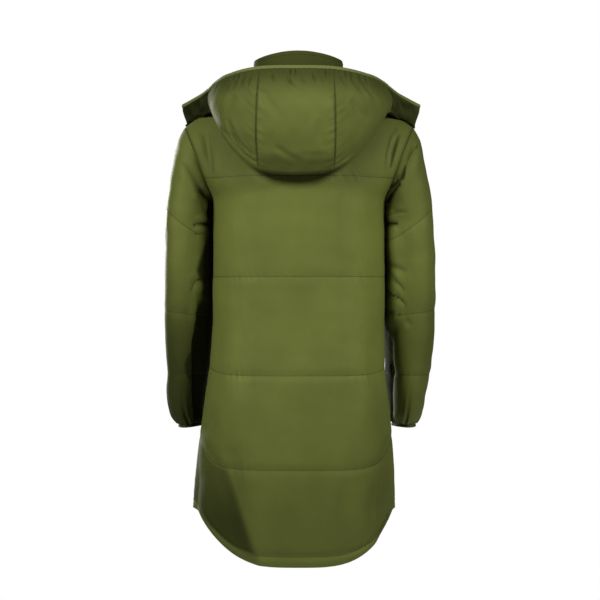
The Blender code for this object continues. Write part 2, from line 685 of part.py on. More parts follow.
rise = quilt_rise(levels)[:, None]
puffs = {}
for name in ("back", "front_left", "front_right"):
    grid = grids[name]
    sideways = np.clip(np.abs(grid[..., 0]) / SECTIONS["half_width"].max(), 0, 1)
    puffs[name] = PUFF * rise * edge_rise(grid) * (1 - 0.55 * sideways**6)
    folds = BACK_FOLDS if name == "back" else FRONT_FOLDS
    puffs[name] -= fold_depth(folds, "x", grid[..., 0], grid[..., 2]) * rise * edge_rise(grid)
for side, name in ((1, "sleeve_left"), (-1, "sleeve_right")):
    grid = grids[name]
    heights = grid[:, 0, 2]
    lines = np.interp(SLEEVE_QUILT_STATIONS, stations, heights)
    gaps = np.abs(heights[:, None] - lines[None, :]).min(axis=1)
    gaps = np.minimum(gaps, np.abs(heights - heights[-1]) * 2)
    against_coat = ease((SLEEVE_INNER_X + 0.03 - np.abs(grid[..., 0])) / 0.03)
    puffs[name] = PUFF * np.sqrt(ease(gaps / PUFF_REACH))[:, None] * (1 - 0.6 * against_coat)
    puffs[name] *= rise_from(grid, grid[0])
    own = {key: column[SLEEVE_FOLDS["side"] == side] for key, column in SLEEVE_FOLDS.items()}
    puffs[name] -= fold_depth(own, "y", grid[..., 1], grid[..., 2])
collar_rise = np.sin(math.pi * np.linspace(0, 1, collar.shape[0])) ** 0.7
puffs["collar"] = 0.003 * collar_rise[:, None] * edge_rise(collar)

outsides = {}
for name, grid in grids.items():
    inside = trimmed(grid, name in tubes)
    outsides[name] = inside + normals[name] * (WALL_AT_SEAM + puffs[name])[..., None]
    wall(name, inside, outsides[name], name in tubes, SHELL)


def outside_tree(names):
    """The coat's outside as a tree of triangles, to lay the hood on."""
    points, triangles = [], []
    for name in names:
        grid = outsides[name]
        rows, columns = grid.shape[:2]
        start = len(points)
        points += [Vector(p) for p in grid.reshape(-1, 3)]
        for row in range(rows - 1):
            for column in range(columns if name in tubes else columns - 1):
                a = start + row * columns + column
                b = start + row * columns + (column + 1) % columns
                pair = [(a, b, b + columns), (a, b + columns, a + columns)]
                for triangle in pair:
                    p, q, r = (points[i] for i in triangle)
                    facing = (q - p).cross(r - p).dot(Vector(normals[name][row, column]))
                    triangles.append(triangle if facing > 0 else triangle[::-1])
    return BVHTree.FromPolygons(points, triangles)


coat_tree = outside_tree(("back", "front_left", "front_right", "sleeve_left", "sleeve_right"))
hood, neck_direction = hood_grid(outsides["collar"], coat_tree)
hood_normals = normals_of(hood, False)
middle = hood.shape[1] // 2
if hood_normals[-3, middle, 1] < 0:
    hood_normals = -hood_normals
hood_normals[0] = neck_direction
rows = hood.shape[0]
height_share = np.clip((np.arange(rows) - 8) / (rows - 9), 0, 1)
hood_rise = np.sin(math.pi * height_share) ** 0.6
seams = {"hood_side_left": (0, middle - HOOD_SEAM_COLUMN),
         "hood_centre": (middle - HOOD_SEAM_COLUMN, middle + HOOD_SEAM_COLUMN),
         "hood_side_right": (middle + HOOD_SEAM_COLUMN, hood.shape[1] - 1)}
for name, (start, end) in seams.items():
    part = hood[:, start:end + 1].copy()
    facing = hood_normals[:, start:end + 1]
    columns_rise = edge_rise(part)
    part[:, 0] += SEAM_GAP / 2 * unit(part[:, 1] - part[:, 0])
    part[:, -1] += SEAM_GAP / 2 * unit(part[:, -2] - part[:, -1])
    puff = HOOD_PUFF * hood_rise[:, None] * columns_rise
    wall(name, part - facing * HOOD_WALL / 2, part + facing * (HOOD_WALL / 2 + puff)[..., None], False, SHELL)
strip("hood_binding", binding_sections(hood[-1], hood[-2], hood_normals[-1]), False, BINDING)

for side, name in ((1, "left"), (-1, "right")):
    inside = trimmed(sleeves[side], True)
    outside = outsides["sleeve_" + name]
    cuff = (inside[-1] + outside[-1]) / 2
    before = (inside[-2] + outside[-2]) / 2
    before[:, :2] = cuff[:, :2]
    strip("cuff_binding_" + name, binding_sections(cuff, before, normals["sleeve_" + name][-1]), True, BINDING)

# The zip: a tape beside each front's edge, through the collar, made from those edges' points.
for side, name in ((1, "left"), (-1, "right")):
    front = "front_" + name
    column = 0 if side == 1 else -1
    line = np.concatenate([grids[front][:, 0][::3], collar[1:, column]])
    facing = np.concatenate([normals[front][:, 0][::3], normals["collar"][1:, column]])
    start = (WALL_AT_SEAM - ZIP_TAPE_THICK) / 2
    sections = []
    for x in (SEAM_GAP / 2, ZIP_HALF_WIDTH - SEAM_GAP / 2):
        for out in (start, start + ZIP_TAPE_THICK):
            corner = line + facing * out
            corner[:, 0] = side * x
            sections.append(corner)
    sections = [sections[0], sections[1], sections[3], sections[2]]
    strip("zip_tape_" + name, np.stack(sections, axis=1), False, TAPE)

# The zip's slider, on the tapes' face at the collar: a plate and the bridge that holds the pull.
# Its own z runs up the tapes and its own y runs into the coat.
low, high = collar[2, 0], collar[4, 0]
tape_up = unit((high - low) * np.array([0.0, 1.0, 1.0]))
tape_out = np.array([0.0, -tape_up[2], tape_up[1]])
share = (SLIDER_Z - low[2]) / (high[2] - low[2])
tape_face = low + (high - low) * share + tape_out * (WALL_AT_SEAM + ZIP_TAPE_THICK) / 2
tape_face[0] = 0.0
slider_frame = Matrix((Vector((1.0, 0.0, 0.0)), Vector(-tape_out), Vector(tape_up))).transposed()

plate_y = SEAM_GAP + 2 * SLIDER_HALF[2]
slider = box_object("zip_slider", (SLIDER_HALF[0], SLIDER_HALF[2], SLIDER_HALF[1]),
                    (0, SLIDER_HALF[2] - plate_y, 0), coat)
sunk = 0.0006
bridge = box_object("slider_bridge", BRIDGE_HALF, (0, sunk - plate_y - BRIDGE_HALF[1], 0), cutters)
tunnel_half = (2 * BRIDGE_HALF[0], BRIDGE_HALF[1], BRIDGE_HALF[2] - BRIDGE_WALL)
tunnel = box_object("slider_tunnel", tunnel_half, (0, sunk - plate_y - BRIDGE_HALF[1] + BRIDGE_WALL, 0), cutters)
boolean(bridge, tunnel, "DIFFERENCE")
boolean(slider, bridge, "UNION")
for piece in (slider, bridge, tunnel):
    piece.location = tape_face
    piece.rotation_euler = slider_frame.to_euler()
slider.data.materials.append(material("zip_slider", *METAL))

# The pull hangs by its crossbar from the slider's bridge, and its origin is on that crossbar.
pivot = tape_face + tape_out * (plate_y + PULL_PIVOT_OUT)
pull = box_object("zip_pull", (PULL_HALF_WIDTH, PULL_HALF_THICK, (PULL_LENGTH + PULL_BAR_HALF) / 2),
                  (0, 0, PULL_BAR_HALF - (PULL_LENGTH + PULL_BAR_HALF) / 2), coat)
window = box_object("pull_window", (PULL_WINDOW[0], 2 * PULL_HALF_THICK, (PULL_WINDOW[1] - PULL_BAR_HALF) / 2),
                    (0, 0, -(PULL_WINDOW[1] + PULL_BAR_HALF) / 2), cutters)
boolean(pull, window, "DIFFERENCE")
for piece in (pull, window):
    piece.location = pivot
pull.data.materials.append(material("zip_pull", *METAL))

for cutter in cutters.objects:
    cutter.hide_render = True
    cutter.display_type = "WIRE"
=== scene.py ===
"""A padded parka seen from behind, hollow as if worn, with its hood down its back."""
import math

import bmesh
import bpy
import numpy as np
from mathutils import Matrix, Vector


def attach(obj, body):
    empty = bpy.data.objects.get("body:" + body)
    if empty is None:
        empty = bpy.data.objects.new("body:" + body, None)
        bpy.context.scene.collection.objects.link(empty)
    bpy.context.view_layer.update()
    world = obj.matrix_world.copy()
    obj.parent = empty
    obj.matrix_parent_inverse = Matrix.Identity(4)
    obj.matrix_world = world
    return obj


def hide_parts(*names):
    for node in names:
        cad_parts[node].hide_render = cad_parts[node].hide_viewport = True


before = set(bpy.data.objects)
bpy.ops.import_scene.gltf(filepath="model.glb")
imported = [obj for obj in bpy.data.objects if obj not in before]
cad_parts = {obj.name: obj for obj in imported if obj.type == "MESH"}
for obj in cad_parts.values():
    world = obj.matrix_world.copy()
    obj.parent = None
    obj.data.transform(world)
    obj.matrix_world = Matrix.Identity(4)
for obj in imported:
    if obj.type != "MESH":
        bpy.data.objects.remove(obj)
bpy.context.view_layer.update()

# ---------------------------------------------------------------- camera, light and floor
# The coat is seen straight from behind, from 4 m away and level with the middle of its back.
# Big soft lights stand behind the camera, the stronger one high on the right.

CAMERA_AWAY = 4.0
CAMERA_HEIGHT = -0.432
PHOTO_SIDE = 1.2            # metres that the picture takes in, where the coat's middle is
CAMERA_X = -0.002
FLOOR_Z = -1.45
FLOOR_HALF = 1.7
FLOOR_COLOR = (0.93, 0.93, 0.93, 1.0)
FLOOR_GLOW = 0.42           # so that the floor looks as white as the wall behind
ROOM_LIGHT = 0.045          # what the white room gives from all around

WHITE = (1.0, 1.0, 1.0, 1.0)


def placed(name, data):
    """An object that holds the given data, put in the scene."""
    made = bpy.data.objects.new(name, data)
    bpy.context.scene.collection.objects.link(made)
    return made


def add_node(tree, kind, inputs, **settings):
    """A shader node: each of its inputs holds a value, or a link where it is given an output."""
    node = tree.nodes.new("ShaderNode" + kind)
    for name, value in settings.items():
        setattr(node, name, value)
    for key, value in inputs.items():
        if isinstance(value, bpy.types.NodeSocket):
            tree.links.new(value, node.inputs[key])
        else:
            node.inputs[key].default_value = value
    return node


camera_data = bpy.data.cameras.new("camera")
camera_data.sensor_width = 36.0
camera_data.lens = camera_data.sensor_width * CAMERA_AWAY / PHOTO_SIDE
camera = placed("camera", camera_data)
camera.location = (CAMERA_X, CAMERA_AWAY, CAMERA_HEIGHT)
camera.rotation_euler = (math.pi / 2, 0, math.pi)
bpy.context.scene.camera = camera

world = bpy.data.worlds.new("studio")
world.use_nodes = True
sky = world.node_tree
surround = sky.nodes["Background"]
surround.inputs["Color"].default_value = WHITE
surround.inputs["Strength"].default_value = ROOM_LIGHT
either = add_node(sky, "MixShader", {
    "Fac": add_node(sky, "LightPath", {}).outputs["Is Camera Ray"],
    1: surround.outputs["Background"],
    2: add_node(sky, "Background", {"Color": WHITE}).outputs["Background"],
})
sky.links.new(either.outputs["Shader"], sky.nodes["World Output"].inputs["Surface"])
bpy.context.scene.world = world
bpy.context.scene.view_settings.view_transform = "Standard"


def soft_light(name, place, aim, side, power, spread=180):
    """A square area light at `place` that faces `aim` and whose light spreads that many degrees."""
    data = bpy.data.lights.new(name, "AREA")
    data.size = side
    data.energy = power
    data.spread = math.radians(spread)
    light = placed(name, data)
    light.location = place
    light.rotation_euler = (Vector(aim) - Vector(place)).to_track_quat("-Z", "Y").to_euler()


soft_light("right_key", (-1.8, 1.9, 1.2), (0, 0.1, -0.26), 0.9, 6.1, 54)
soft_light("left_key", (1.75, 2.0, 1.2), (0, 0.1, -0.19), 0.9, 6.4, 52)
soft_light("front_key", (1.6, -2.5, 0.0), (0, 0, -0.42), 0.8, 8, 60)

floor_mesh = bpy.data.meshes.new("floor")
corners = [(x * FLOOR_HALF, y * FLOOR_HALF, FLOOR_Z) for x, y in ((-1, -1), (1, -1), (1, 1), (-1, 1))]
floor_mesh.from_pydata(corners, [], [(0, 1, 2, 3)])
floor_look = bpy.data.materials.new("pale_floor")
floor_look.use_nodes = True
floor_inputs = floor_look.node_tree.nodes["Principled BSDF"].inputs
floor_inputs["Base Color"].default_value = FLOOR_COLOR
floor_inputs["Roughness"].default_value = 0.9
floor_inputs["Emission Color"].default_value = WHITE
floor_inputs["Emission Strength"].default_value = FLOOR_GLOW
floor_mesh.materials.append(floor_look)
placed("floor", floor_mesh)

# ---------------------------------------------------------------- the back
# One padded panel of smooth olive nylon from the neck to a dropped, rounded tail. Four lines of
# stitching quilt it, and its hem is turned up and stitched. It hangs from the shoulder seams.
# Across is the share of a half panel from its middle (0) to its side (1). Levels count rows: the
# hem is 0, its stitches 1, the underarm 5 and the neck 6.

SEAM_GAP = 0.0003
WALL_AT_SEAM = 0.003
PUFF = 0.0048               # how far the padding stands off where it is full
PUFF_REACH = 0.028          # how far from a seam it is full
UNDERARM = (-0.010, -0.235)  # y and z
SHOULDER_TIP = np.array([0.227, -0.005, -0.091])
ARMHOLE_HALF_DEPTH = 0.078
UNDERARM_GAP = 0.0005
NECK_HALF_WIDTH = 0.080
NECK_BACK_Y = 0.055
NECK_FRONT = (-0.080, -0.065)  # y and z
SHOULDER_CROWN = 0.005
ZIP_HALF_WIDTH = 0.006
NECK_SHARE = 0.4            # the neckline's share of the top edge, in columns
NECK_COLUMNS = 30
SHOULDER_COLUMNS = 48
BAND_ROWS = (10, 38, 40, 42, 30, 65)  # rows from each level to the next
PAINTED_SHADING_RANGE = (-0.35, 0.95)   # the least and most share of its colour that painted shade may take; below 0 the colour is painted paler, as painted light
WALL_SHARP_DEG = 50


def table(names, rows):
    """A table as one array for each named column."""
    return {name: np.array(column, dtype=float) for name, column in zip(names, zip(*rows))}


SECTIONS = table(
    ("z", "half_width", "lean", "side_y", "back_y", "front_y"),
    [
        (-0.960, 0.1995, 0.0105, 0.004, 0.147, -0.140),
        (-0.846, 0.1985, 0.0100, 0.003, 0.144, -0.137),
        (-0.774, 0.1945, 0.0085, 0.002, 0.140, -0.134),
        (-0.682, 0.1840, 0.0060, 0.000, 0.134, -0.130),
        (-0.582, 0.1710, 0.0040, -0.002, 0.127, -0.126),
        (-0.500, 0.1660, 0.0010, -0.004, 0.122, -0.123),
        (-0.386, 0.1655, 0.0000, -0.007, 0.120, -0.123),
        (-0.235, 0.1655, 0.0000, -0.010, 0.124, -0.130),
    ],
)
LOWER_ROWS = table(
    ("level", "back_z", "side_z", "front_z", "power"),
    [
        (0, -0.948, -0.846, -0.856, 3.05),
        (1, -0.927, -0.830, -0.835, 3.45),
        (2, -0.761, -0.701, -0.706, 7.0),
        (3, -0.579, -0.566, -0.569, 8.0),
        (4, -0.386, -0.386, -0.386, 8.0),
        (5, UNDERARM[1], UNDERARM[1], UNDERARM[1], 8.0),
    ],
)
YOKE_ROWS = table(
    ("level", "armhole_deg", "back_z", "back_y", "front_z", "front_y"),
    [
        (5.0, 180, -0.235, 0.124, -0.235, -0.130),
        (5.1, 160, -0.226, 0.124, -0.226, -0.130),
        (5.2, 140, -0.214, 0.124, -0.214, -0.130),
        (5.3, 119, -0.201, 0.123, -0.201, -0.130),
        (5.4, 110, -0.192, 0.123, -0.192, -0.130),
        (5.5, 101, -0.183, 0.122, -0.183, -0.130),
        (5.6, 80, -0.148, 0.117, -0.160, -0.128),
        (5.7, 60, -0.104, 0.107, -0.135, -0.123),
        (5.8, 40, -0.057, 0.091, -0.110, -0.115),
        (5.9, 20, -0.018, 0.070, -0.085, -0.100),
        (6.0, 0, 0.000, NECK_BACK_Y, NECK_FRONT[1], NECK_FRONT[0]),
    ],
)
# Each line of quilting: its level, and how far its stitches draw the padding in.
QUILT_LINES = table(("level", "draw"), [(1, 0.80), (2, 0.62), (3, 0.50), (4, 0.22), (5.4, 0.16)])
QUILT_REACH = 0.016
PUCKER_REACH = 0.012


def cubic(t, start, end, start_slope, end_slope):
    """The cubic from one value to another that has the given slopes there, at shares t of the way."""
    return ((2 * t**3 - 3 * t**2 + 1) * start + (t**3 - 2 * t**2 + t) * start_slope
            + (3 * t**2 - 2 * t**3) * end + (t**3 - t**2) * end_slope)


def read_table(rows, key, column, at):
    """The column where the key column is `at`: a cubic whose slopes come from neighbours."""
    keys, values = rows[key], rows[column]
    at = np.clip(np.asarray(at, dtype=float), keys[0], keys[-1])
    slopes = np.gradient(values, keys)
    i = np.clip(np.searchsorted(keys, at, side="right") - 1, 0, len(keys) - 2)
    width = keys[i + 1] - keys[i]
    return cubic((at - keys[i]) / width, values[i], values[i + 1], width * slopes[i], width * slopes[i + 1])


def smooth_between(values, at):
    """Values between the entries of the first axis: a cubic whose slopes come from neighbours."""
    slopes = np.gradient(values, axis=0)
    i = np.clip(at.astype(int), 0, len(values) - 2)
    t = (at - i).reshape(-1, *[1] * (values.ndim - 1))
    return cubic(t, values[i], values[i + 1], slopes[i], slopes[i + 1])


def unit(vectors):
    """Vectors scaled to length 1."""
    return vectors / np.maximum(np.linalg.norm(vectors, axis=-1, keepdims=True), 1e-12)


def ease(t):
    """0 to 1 with level ends: 3t squared less 2t cubed."""
    t = np.clip(t, 0.0, 1.0)
    return t * t * (3 - 2 * t)


def waves(along, length, seed, count=6, spread=0.45):
    """Uneven waves from about -1 to 1: sines whose lengths lie round `length`, with seeded phases,
    swelling and fading slowly."""
    draw = np.random.default_rng(seed)
    total = np.zeros(np.shape(along))
    for own in length * (1 + spread * np.linspace(-1, 1, count)):
        total = total + np.sin(2 * np.pi * np.asarray(along) / own + draw.uniform(0, 2 * np.pi))
    return total / math.sqrt(count) * 0.8


def drift(points, length, seed, count=7):
    """Soft uneven relief from about -1 to 1: plane waves in seeded directions through space."""
    draw = np.random.default_rng(seed)
    total = np.zeros(points.shape[:-1])
    for _ in range(count):
        heading = draw.normal(size=3)
        heading /= np.linalg.norm(heading)
        own = length * draw.uniform(0.7, 1.5)
        total += np.sin(points @ heading * 2 * np.pi / own + draw.uniform(0, 2 * np.pi))
    return total / math.sqrt(count)


def unevenness(points, seeds, sizes):
    """The cloth's own soft relief: the sum of drifts, each with its seed, height and length."""
    return sum(height * drift(points, length, seed) for seed, (height, length) in zip(seeds, sizes))


def along_fold(a0, b0, a1, b1, across, height):
    """Where points are beside a straight fold from (a0, b0) to (a1, b1): their share of the way along
    it, how far they are to its left and how far past its ends, and then the fold's length."""
    run = np.array([a1 - a0, b1 - b0])
    length = math.hypot(*run)
    u, w = across - a0, height - b0
    along = (u * run[0] + w * run[1]) / length**2
    held = np.clip(along, 0.0, 1.0)
    return held, (run[0] * w - run[1] * u) / length, np.abs(along - held) * length, length


def creases(folds, across, height):
    """Relief of creases: each runs from (a0, b0) to (a1, b1), bent a little, deepest a third of the
    way along and gone at its far end. Across it is a Gaussian trough with a roll on one side, left
    of its run, and a lower one on the other. A negative width puts the roll on the right."""
    total = np.zeros(np.shape(across))
    for *ends, width, depth in folds:
        held, aside, past, length = along_fold(*ends, across, height)
        fade = np.sin(np.pi * held**0.7) ** 0.8 * np.exp(-((past / abs(width)) ** 2))
        gap = (aside * np.sign(width) - 0.05 * length * np.sin(np.pi * held)) / abs(width)
        rolls = 0.55 * np.exp(-((gap - 1.7) / 1.1) ** 2) + 0.2 * np.exp(-((gap + 1.9) / 1.1) ** 2)
        total += depth * fade * (rolls - np.exp(-gap**2))
    return total


def ledges(folds, across, height):
    """Relief of large folds that have one sharp side: left of a line from (a0, b0) to (a1, b1) the
    cloth falls away at once, is deepest one width from it and comes slowly back: s times e to the
    power 1 - s, with s in widths. A negative width falls to the right."""
    total = np.zeros(np.shape(across))
    for *ends, width, depth in folds:
        held, aside, past, _ = along_fold(*ends, across, height)
        aside = aside / width
        inside = (aside + np.sqrt(aside**2 + 0.004)) / 2
        fade = np.exp(-((past / abs(width)) ** 2)) * (0.65 + 0.35 * np.sin(np.pi * held))
        total -= depth * fade * inside * np.exp(1 - inside)
    return total


def painted_fold_shade(folds, across, height):
    """Painted shade in deep folds, as the share of colour it takes: each runs straight from (a0, b0) to
    (a1, b1), and to both sides its painted shade fades as a Gaussian of the distance in widths. The darkest
    one counts."""
    darkest = np.zeros(np.shape(across))
    for *ends, width, painted_shade in folds:
        held, aside, past, _ = along_fold(*ends, across, height)
        away = np.hypot(aside, past) / (width * (0.55 + 0.45 * np.sin(np.pi * held)))
        darkest = np.maximum(darkest, painted_shade * np.exp(-away**2))
    return darkest


def draped(grid, relief, closed=False):
    """The grid with its points moved along its normals: both sides of the wall take the fold."""
    return grid + normals_of(grid, closed) * relief[..., None]


def armhole(side, degrees):
    """The armhole: a tilted oval from the shoulder tip (0) round the back (90) to the underarm."""
    turn = np.radians(np.asarray(degrees, dtype=float))[..., None]
    half_width = float(read_table(SECTIONS, "z", "half_width", UNDERARM[1]))
    bottom = np.array([half_width, *UNDERARM])
    points = ((SHOULDER_TIP + bottom) / 2 + np.cos(turn) * (SHOULDER_TIP - bottom) / 2
              + np.sin(turn) * np.array([0.0, ARMHOLE_HALF_DEPTH, 0.0]))
    return points * np.array([side, 1.0, 1.0])


def armhole_direction(side, degrees):
    """Away from the armhole's middle, but never towards the coat."""
    away = armhole(side, degrees) - (armhole(side, 0) + armhole(side, 180)) / 2
    away[..., 0] = side * np.maximum(side * away[..., 0], 0)
    return unit(away)


def top_edge(across, front):
    """Half of a panel's top edge, for +X: the neckline as a quarter oval, then the shoulder."""
    turn = np.clip(across / NECK_SHARE, 0, 1) * np.pi / 2
    edge = ZIP_HALF_WIDTH if front else 0.0
    out = np.clip((across - NECK_SHARE) / (1 - NECK_SHARE), 0, 1)
    x = edge + (NECK_HALF_WIDTH - edge) * np.sin(turn) + out * (SHOULDER_TIP[0] - NECK_HALF_WIDTH)
    y = (NECK_FRONT[0] if front else NECK_BACK_Y) * np.cos(turn) + out * SHOULDER_TIP[1]
    z = ((NECK_FRONT[1] if front else 0.0) * np.cos(turn) ** 2 + out * SHOULDER_TIP[2]
         + SHOULDER_CROWN * np.sin(np.pi * out))
    return np.stack([x, y, z], axis=-1)


def half_panel(side, front, levels, across):
    """Half of the coat's back or front, as rows by columns, from its middle to its side.

    Below the underarm a row is a quarter of a slightly squared oval. Above, it turns from that
    oval into the top edge, and is drawn to the armhole at its end and the middle line at its start.
    """
    face = "front" if front else "back"
    level, across = levels[:, None], across[None, :]
    turn = across * np.pi / 2
    edge = ZIP_HALF_WIDTH if front else 0.0
    low = np.minimum(level, 5)
    middle_z = np.interp(low, LOWER_ROWS["level"], LOWER_ROWS[face + "_z"])
    side_z = np.interp(low, LOWER_ROWS["level"], LOWER_ROWS["side_z"])
    power = 2.0 if front else np.interp(low, LOWER_ROWS["level"], LOWER_ROWS["power"])
    squareness = 0.94 if front else 0.86
    z = middle_z + (side_z - middle_z) * np.sin(turn) ** power
    half_width = read_table(SECTIONS, "z", "half_width", z)
    side_y = read_table(SECTIONS, "z", "side_y", z)
    middle_y = read_table(SECTIONS, "z", face + "_y", z)
    x = edge + (half_width - edge) * np.sin(turn) ** squareness
    y = side_y + (middle_y - side_y) * np.cos(turn) ** squareness
    x = side * x + read_table(SECTIONS, "z", "lean", z) * (x / half_width) ** 2
    lower = np.stack([x, y, z], axis=-1)

    height = read_table(YOKE_ROWS, "level", face + "_z", level)
    depth = read_table(YOKE_ROWS, "level", face + "_y", level)
    degrees = read_table(YOKE_ROWS, "level", "armhole_deg", level)
    end = armhole(side, 360 - degrees if front else degrees)
    share = ((height - UNDERARM[1]) / (YOKE_ROWS[face + "_z"][-1] - UNDERARM[1]))[..., None]
    top = top_edge(across, front) * np.array([side, 1.0, 1.0])
    upper = lower + (top - lower) * np.concatenate([share, share**3, share], axis=-1)
    near_end = (across**3)[..., None]
    start = np.concatenate([np.full_like(height, side * edge), depth, height], axis=-1)[:, None]
    upper = upper + near_end * (end - upper[:, -1:]) + (1 - near_end) * (start - upper[:, :1])
    return np.where(level[..., None] > 5, upper, lower)


def panel_rows():
    """Row levels from hem to neck, closer together beside the lines of quilting."""
    parts = []
    for band, count in enumerate(BAND_ROWS):
        t = np.arange(count) / count
        parts.append(band + (t - 0.08 * np.sin(2 * np.pi * t) if band < 5 else t))
    return np.append(np.concatenate(parts), 6.0)


def panel_columns():
    """Column places from the middle (0) to the side (1): the neckline's and then the shoulder's."""
    return np.concatenate([np.linspace(0, NECK_SHARE, NECK_COLUMNS + 1),
                           np.linspace(NECK_SHARE, 1, SHOULDER_COLUMNS + 1)[1:]])


def normals_of(grid, closed=False):
    """Unit normals of a grid, from the differences along its rows and columns, turned outwards."""
    down = np.gradient(grid, axis=0)
    if closed:
        around = np.roll(grid, -1, axis=1) - np.roll(grid, 1, axis=1)
    else:
        around = np.gradient(grid, axis=1)
    facing = unit(np.cross(around, down))
    return facing * np.sign(np.sum(facing * (grid - grid.mean(axis=1, keepdims=True))))


def eased_at_underarm(grid, levels):
    """The grid with the rows near the underarm evened out, but not at its two sides."""
    even = grid.copy()
    for _ in range(90):
        even[1:-1] = (even[:-2] + 2 * even[1:-1] + even[2:]) / 4
    near = np.exp(-(((levels - 5.05) / 0.35) ** 2))[:, None, None]
    sides = np.minimum(np.arange(grid.shape[1]), np.arange(grid.shape[1])[::-1])[None, :, None]
    return grid + near * ease(sides / 9) * (even - grid)


def distance_to(points, line):
    """Distance from each point to a line of points, the least over its straight runs."""
    nearest = np.full(points.shape[:-1], np.inf)
    for start, end in zip(line[:-1], line[1:]):
        run = end - start
        along = np.clip((points - start) @ run / max(run @ run, 1e-12), 0, 1)[..., None]
        nearest = np.minimum(nearest, np.linalg.norm(points - start - along * run, axis=-1))
    return nearest


def to_sides(grid, step):
    """Distances to the grid's first and last columns, taking every so many of their points."""
    return distance_to(grid, grid[::step, 0]), distance_to(grid, grid[::step, -1])


def rise(distance):
    """0 on a seam and 1 where the padding is full: the root of the eased share of its reach."""
    return np.sqrt(ease(distance / PUFF_REACH))


def line_heights(levels):
    """Height down the middle of the back of each level."""
    low = np.interp(np.minimum(levels, 5), LOWER_ROWS["level"], LOWER_ROWS["back_z"])
    return np.where(levels > 5, read_table(YOKE_ROWS, "level", "back_z", levels), low)


def quilting(levels):
    """For each row: how full its padding is, and how near it is to stitching, from 0 to 1."""
    heights = line_heights(levels)
    gaps = np.abs(heights[:, None] - line_heights(QUILT_LINES["level"])[None, :])
    held = 1 - (1 - np.sqrt(ease(gaps / QUILT_REACH))) * QUILT_LINES["draw"][None, :]
    ends = np.minimum(np.abs(heights - heights[0]) * 2, np.abs(heights - heights[-1]) * 2)
    return np.minimum(held.min(axis=1), rise(ends)), np.exp(-gaps.min(axis=1) / PUCKER_REACH)


def along_rows(grid):
    """Distance along each row from its first column."""
    steps = np.linalg.norm(np.diff(grid, axis=1), axis=-1)
    return np.concatenate([np.zeros((grid.shape[0], 1)), np.cumsum(steps, axis=1)], axis=1)


def along_columns(grid):
    """Distance down each column from its first row."""
    steps = np.linalg.norm(np.diff(grid, axis=0), axis=-1)
    return np.concatenate([np.zeros((1, grid.shape[1])), np.cumsum(steps, axis=0)], axis=0)


def trimmed(grid, closed=False):
    """The grid with its edges drawn in by half a seam gap."""
    grid = grid.copy()
    grid[0] += SEAM_GAP / 2 * unit(grid[1] - grid[0])
    grid[-1] += SEAM_GAP / 2 * unit(grid[-2] - grid[-1])
    if not closed:
        grid[:, 0] += SEAM_GAP / 2 * unit(grid[:, 1] - grid[:, 0])
        grid[:, -1] += SEAM_GAP / 2 * unit(grid[:, -2] - grid[:, -1])
    return grid


def grid_faces(rows, columns, closed, start=0):
    """The quads of a grid of points, as indices."""
    row = np.arange(rows - 1)[:, None] * columns
    column = np.arange(columns if closed else columns - 1)[None, :]
    beside = (column + 1) % columns
    quads = np.stack([row + column, row + beside, row + columns + beside, row + columns + column], axis=-1)
    return quads.reshape(-1, 4) + start


def turned_out(points, quads):
    """The quads of a closed shape, flipped if its signed volume says that they face in."""
    a, b, c, d = (points[quads[:, k]] for k in range(4))
    volume = np.einsum("ij,ij->i", a, np.cross(b, c)).sum() + np.einsum("ij,ij->i", a, np.cross(c, d)).sum()
    return quads[:, ::-1] if volume < 0 else quads


def new_mesh(name, points, quads, uv=None):
    """A mesh from arrays of points and quads, with a UV map where one is given for each point."""
    mesh = bpy.data.meshes.new(name)
    mesh.vertices.add(len(points))
    mesh.vertices.foreach_set("co", np.asarray(points, dtype=np.float32).ravel())
    mesh.loops.add(quads.size)
    mesh.loops.foreach_set("vertex_index", quads.astype(np.int32).ravel())
    mesh.polygons.add(len(quads))
    mesh.polygons.foreach_set("loop_start", np.arange(0, quads.size, 4, dtype=np.int32))
    mesh.update(calc_edges=True)
    if uv is not None:
        layer = mesh.uv_layers.new(name="cloth")
        layer.data.foreach_set("uv", uv[quads.ravel()].astype(np.float32).ravel())
    mesh.validate()
    mesh.shade_smooth()
    return mesh


def set_painted_shading(mesh, painted_shading):
    """The painted shading of each point of a mesh, as the share of colour that painted shade takes: an
    attribute that the cloth's look reads.
    """
    layer = mesh.attributes.new("painted_shading", "FLOAT", "POINT")
    layer.data.foreach_set("value", painted_shading.ravel().astype(np.float32))


def cloth_wall(name, inside, outside, look, closed=False, painted_shading=None):
    """A padded wall: its inside and outside grids, joined round their edges by strips of quads.
    Its UV map is in metres along the rows and down the columns. Its colour is darker by painted shade, a
    share for each grid point, and paler by painted light where that share is negative."""
    rows, columns = inside.shape[:2]
    size = rows * columns
    inner = grid_faces(rows, columns, closed)
    outer = grid_faces(rows, columns, closed, size)[:, ::-1]
    first, last = np.arange(columns), np.arange(columns) + (rows - 1) * columns
    rims = []
    for ring, flip in ((first, 1), (last, -1)):
        ahead = np.roll(ring, -1) if closed else ring[1:]
        here = ring if closed else ring[:-1]
        rims.append(np.stack([here, here + size, ahead + size, ahead], axis=-1)[:, ::flip])
    if not closed:
        column = np.arange(rows) * columns
        for ring, flip in ((column, -1), (column + columns - 1, 1)):
            here, ahead = ring[:-1], ring[1:]
            rims.append(np.stack([here, here + size, ahead + size, ahead], axis=-1)[:, ::flip])
    points = np.concatenate([inside.reshape(-1, 3), outside.reshape(-1, 3)])
    uv = np.stack([along_rows(outside), along_columns(outside)], axis=-1).reshape(-1, 2)
    quads = turned_out(points, np.concatenate([inner, outer] + rims))
    mesh = new_mesh(name, points, quads, np.concatenate([uv, uv]))
    if painted_shading is not None:
        set_painted_shading(mesh, np.tile(np.clip(painted_shading, *PAINTED_SHADING_RANGE).ravel(), 2))
    mesh.set_sharp_from_angle(angle=math.radians(WALL_SHARP_DEG))
    mesh.materials.append(look)
    return placed(name, mesh)


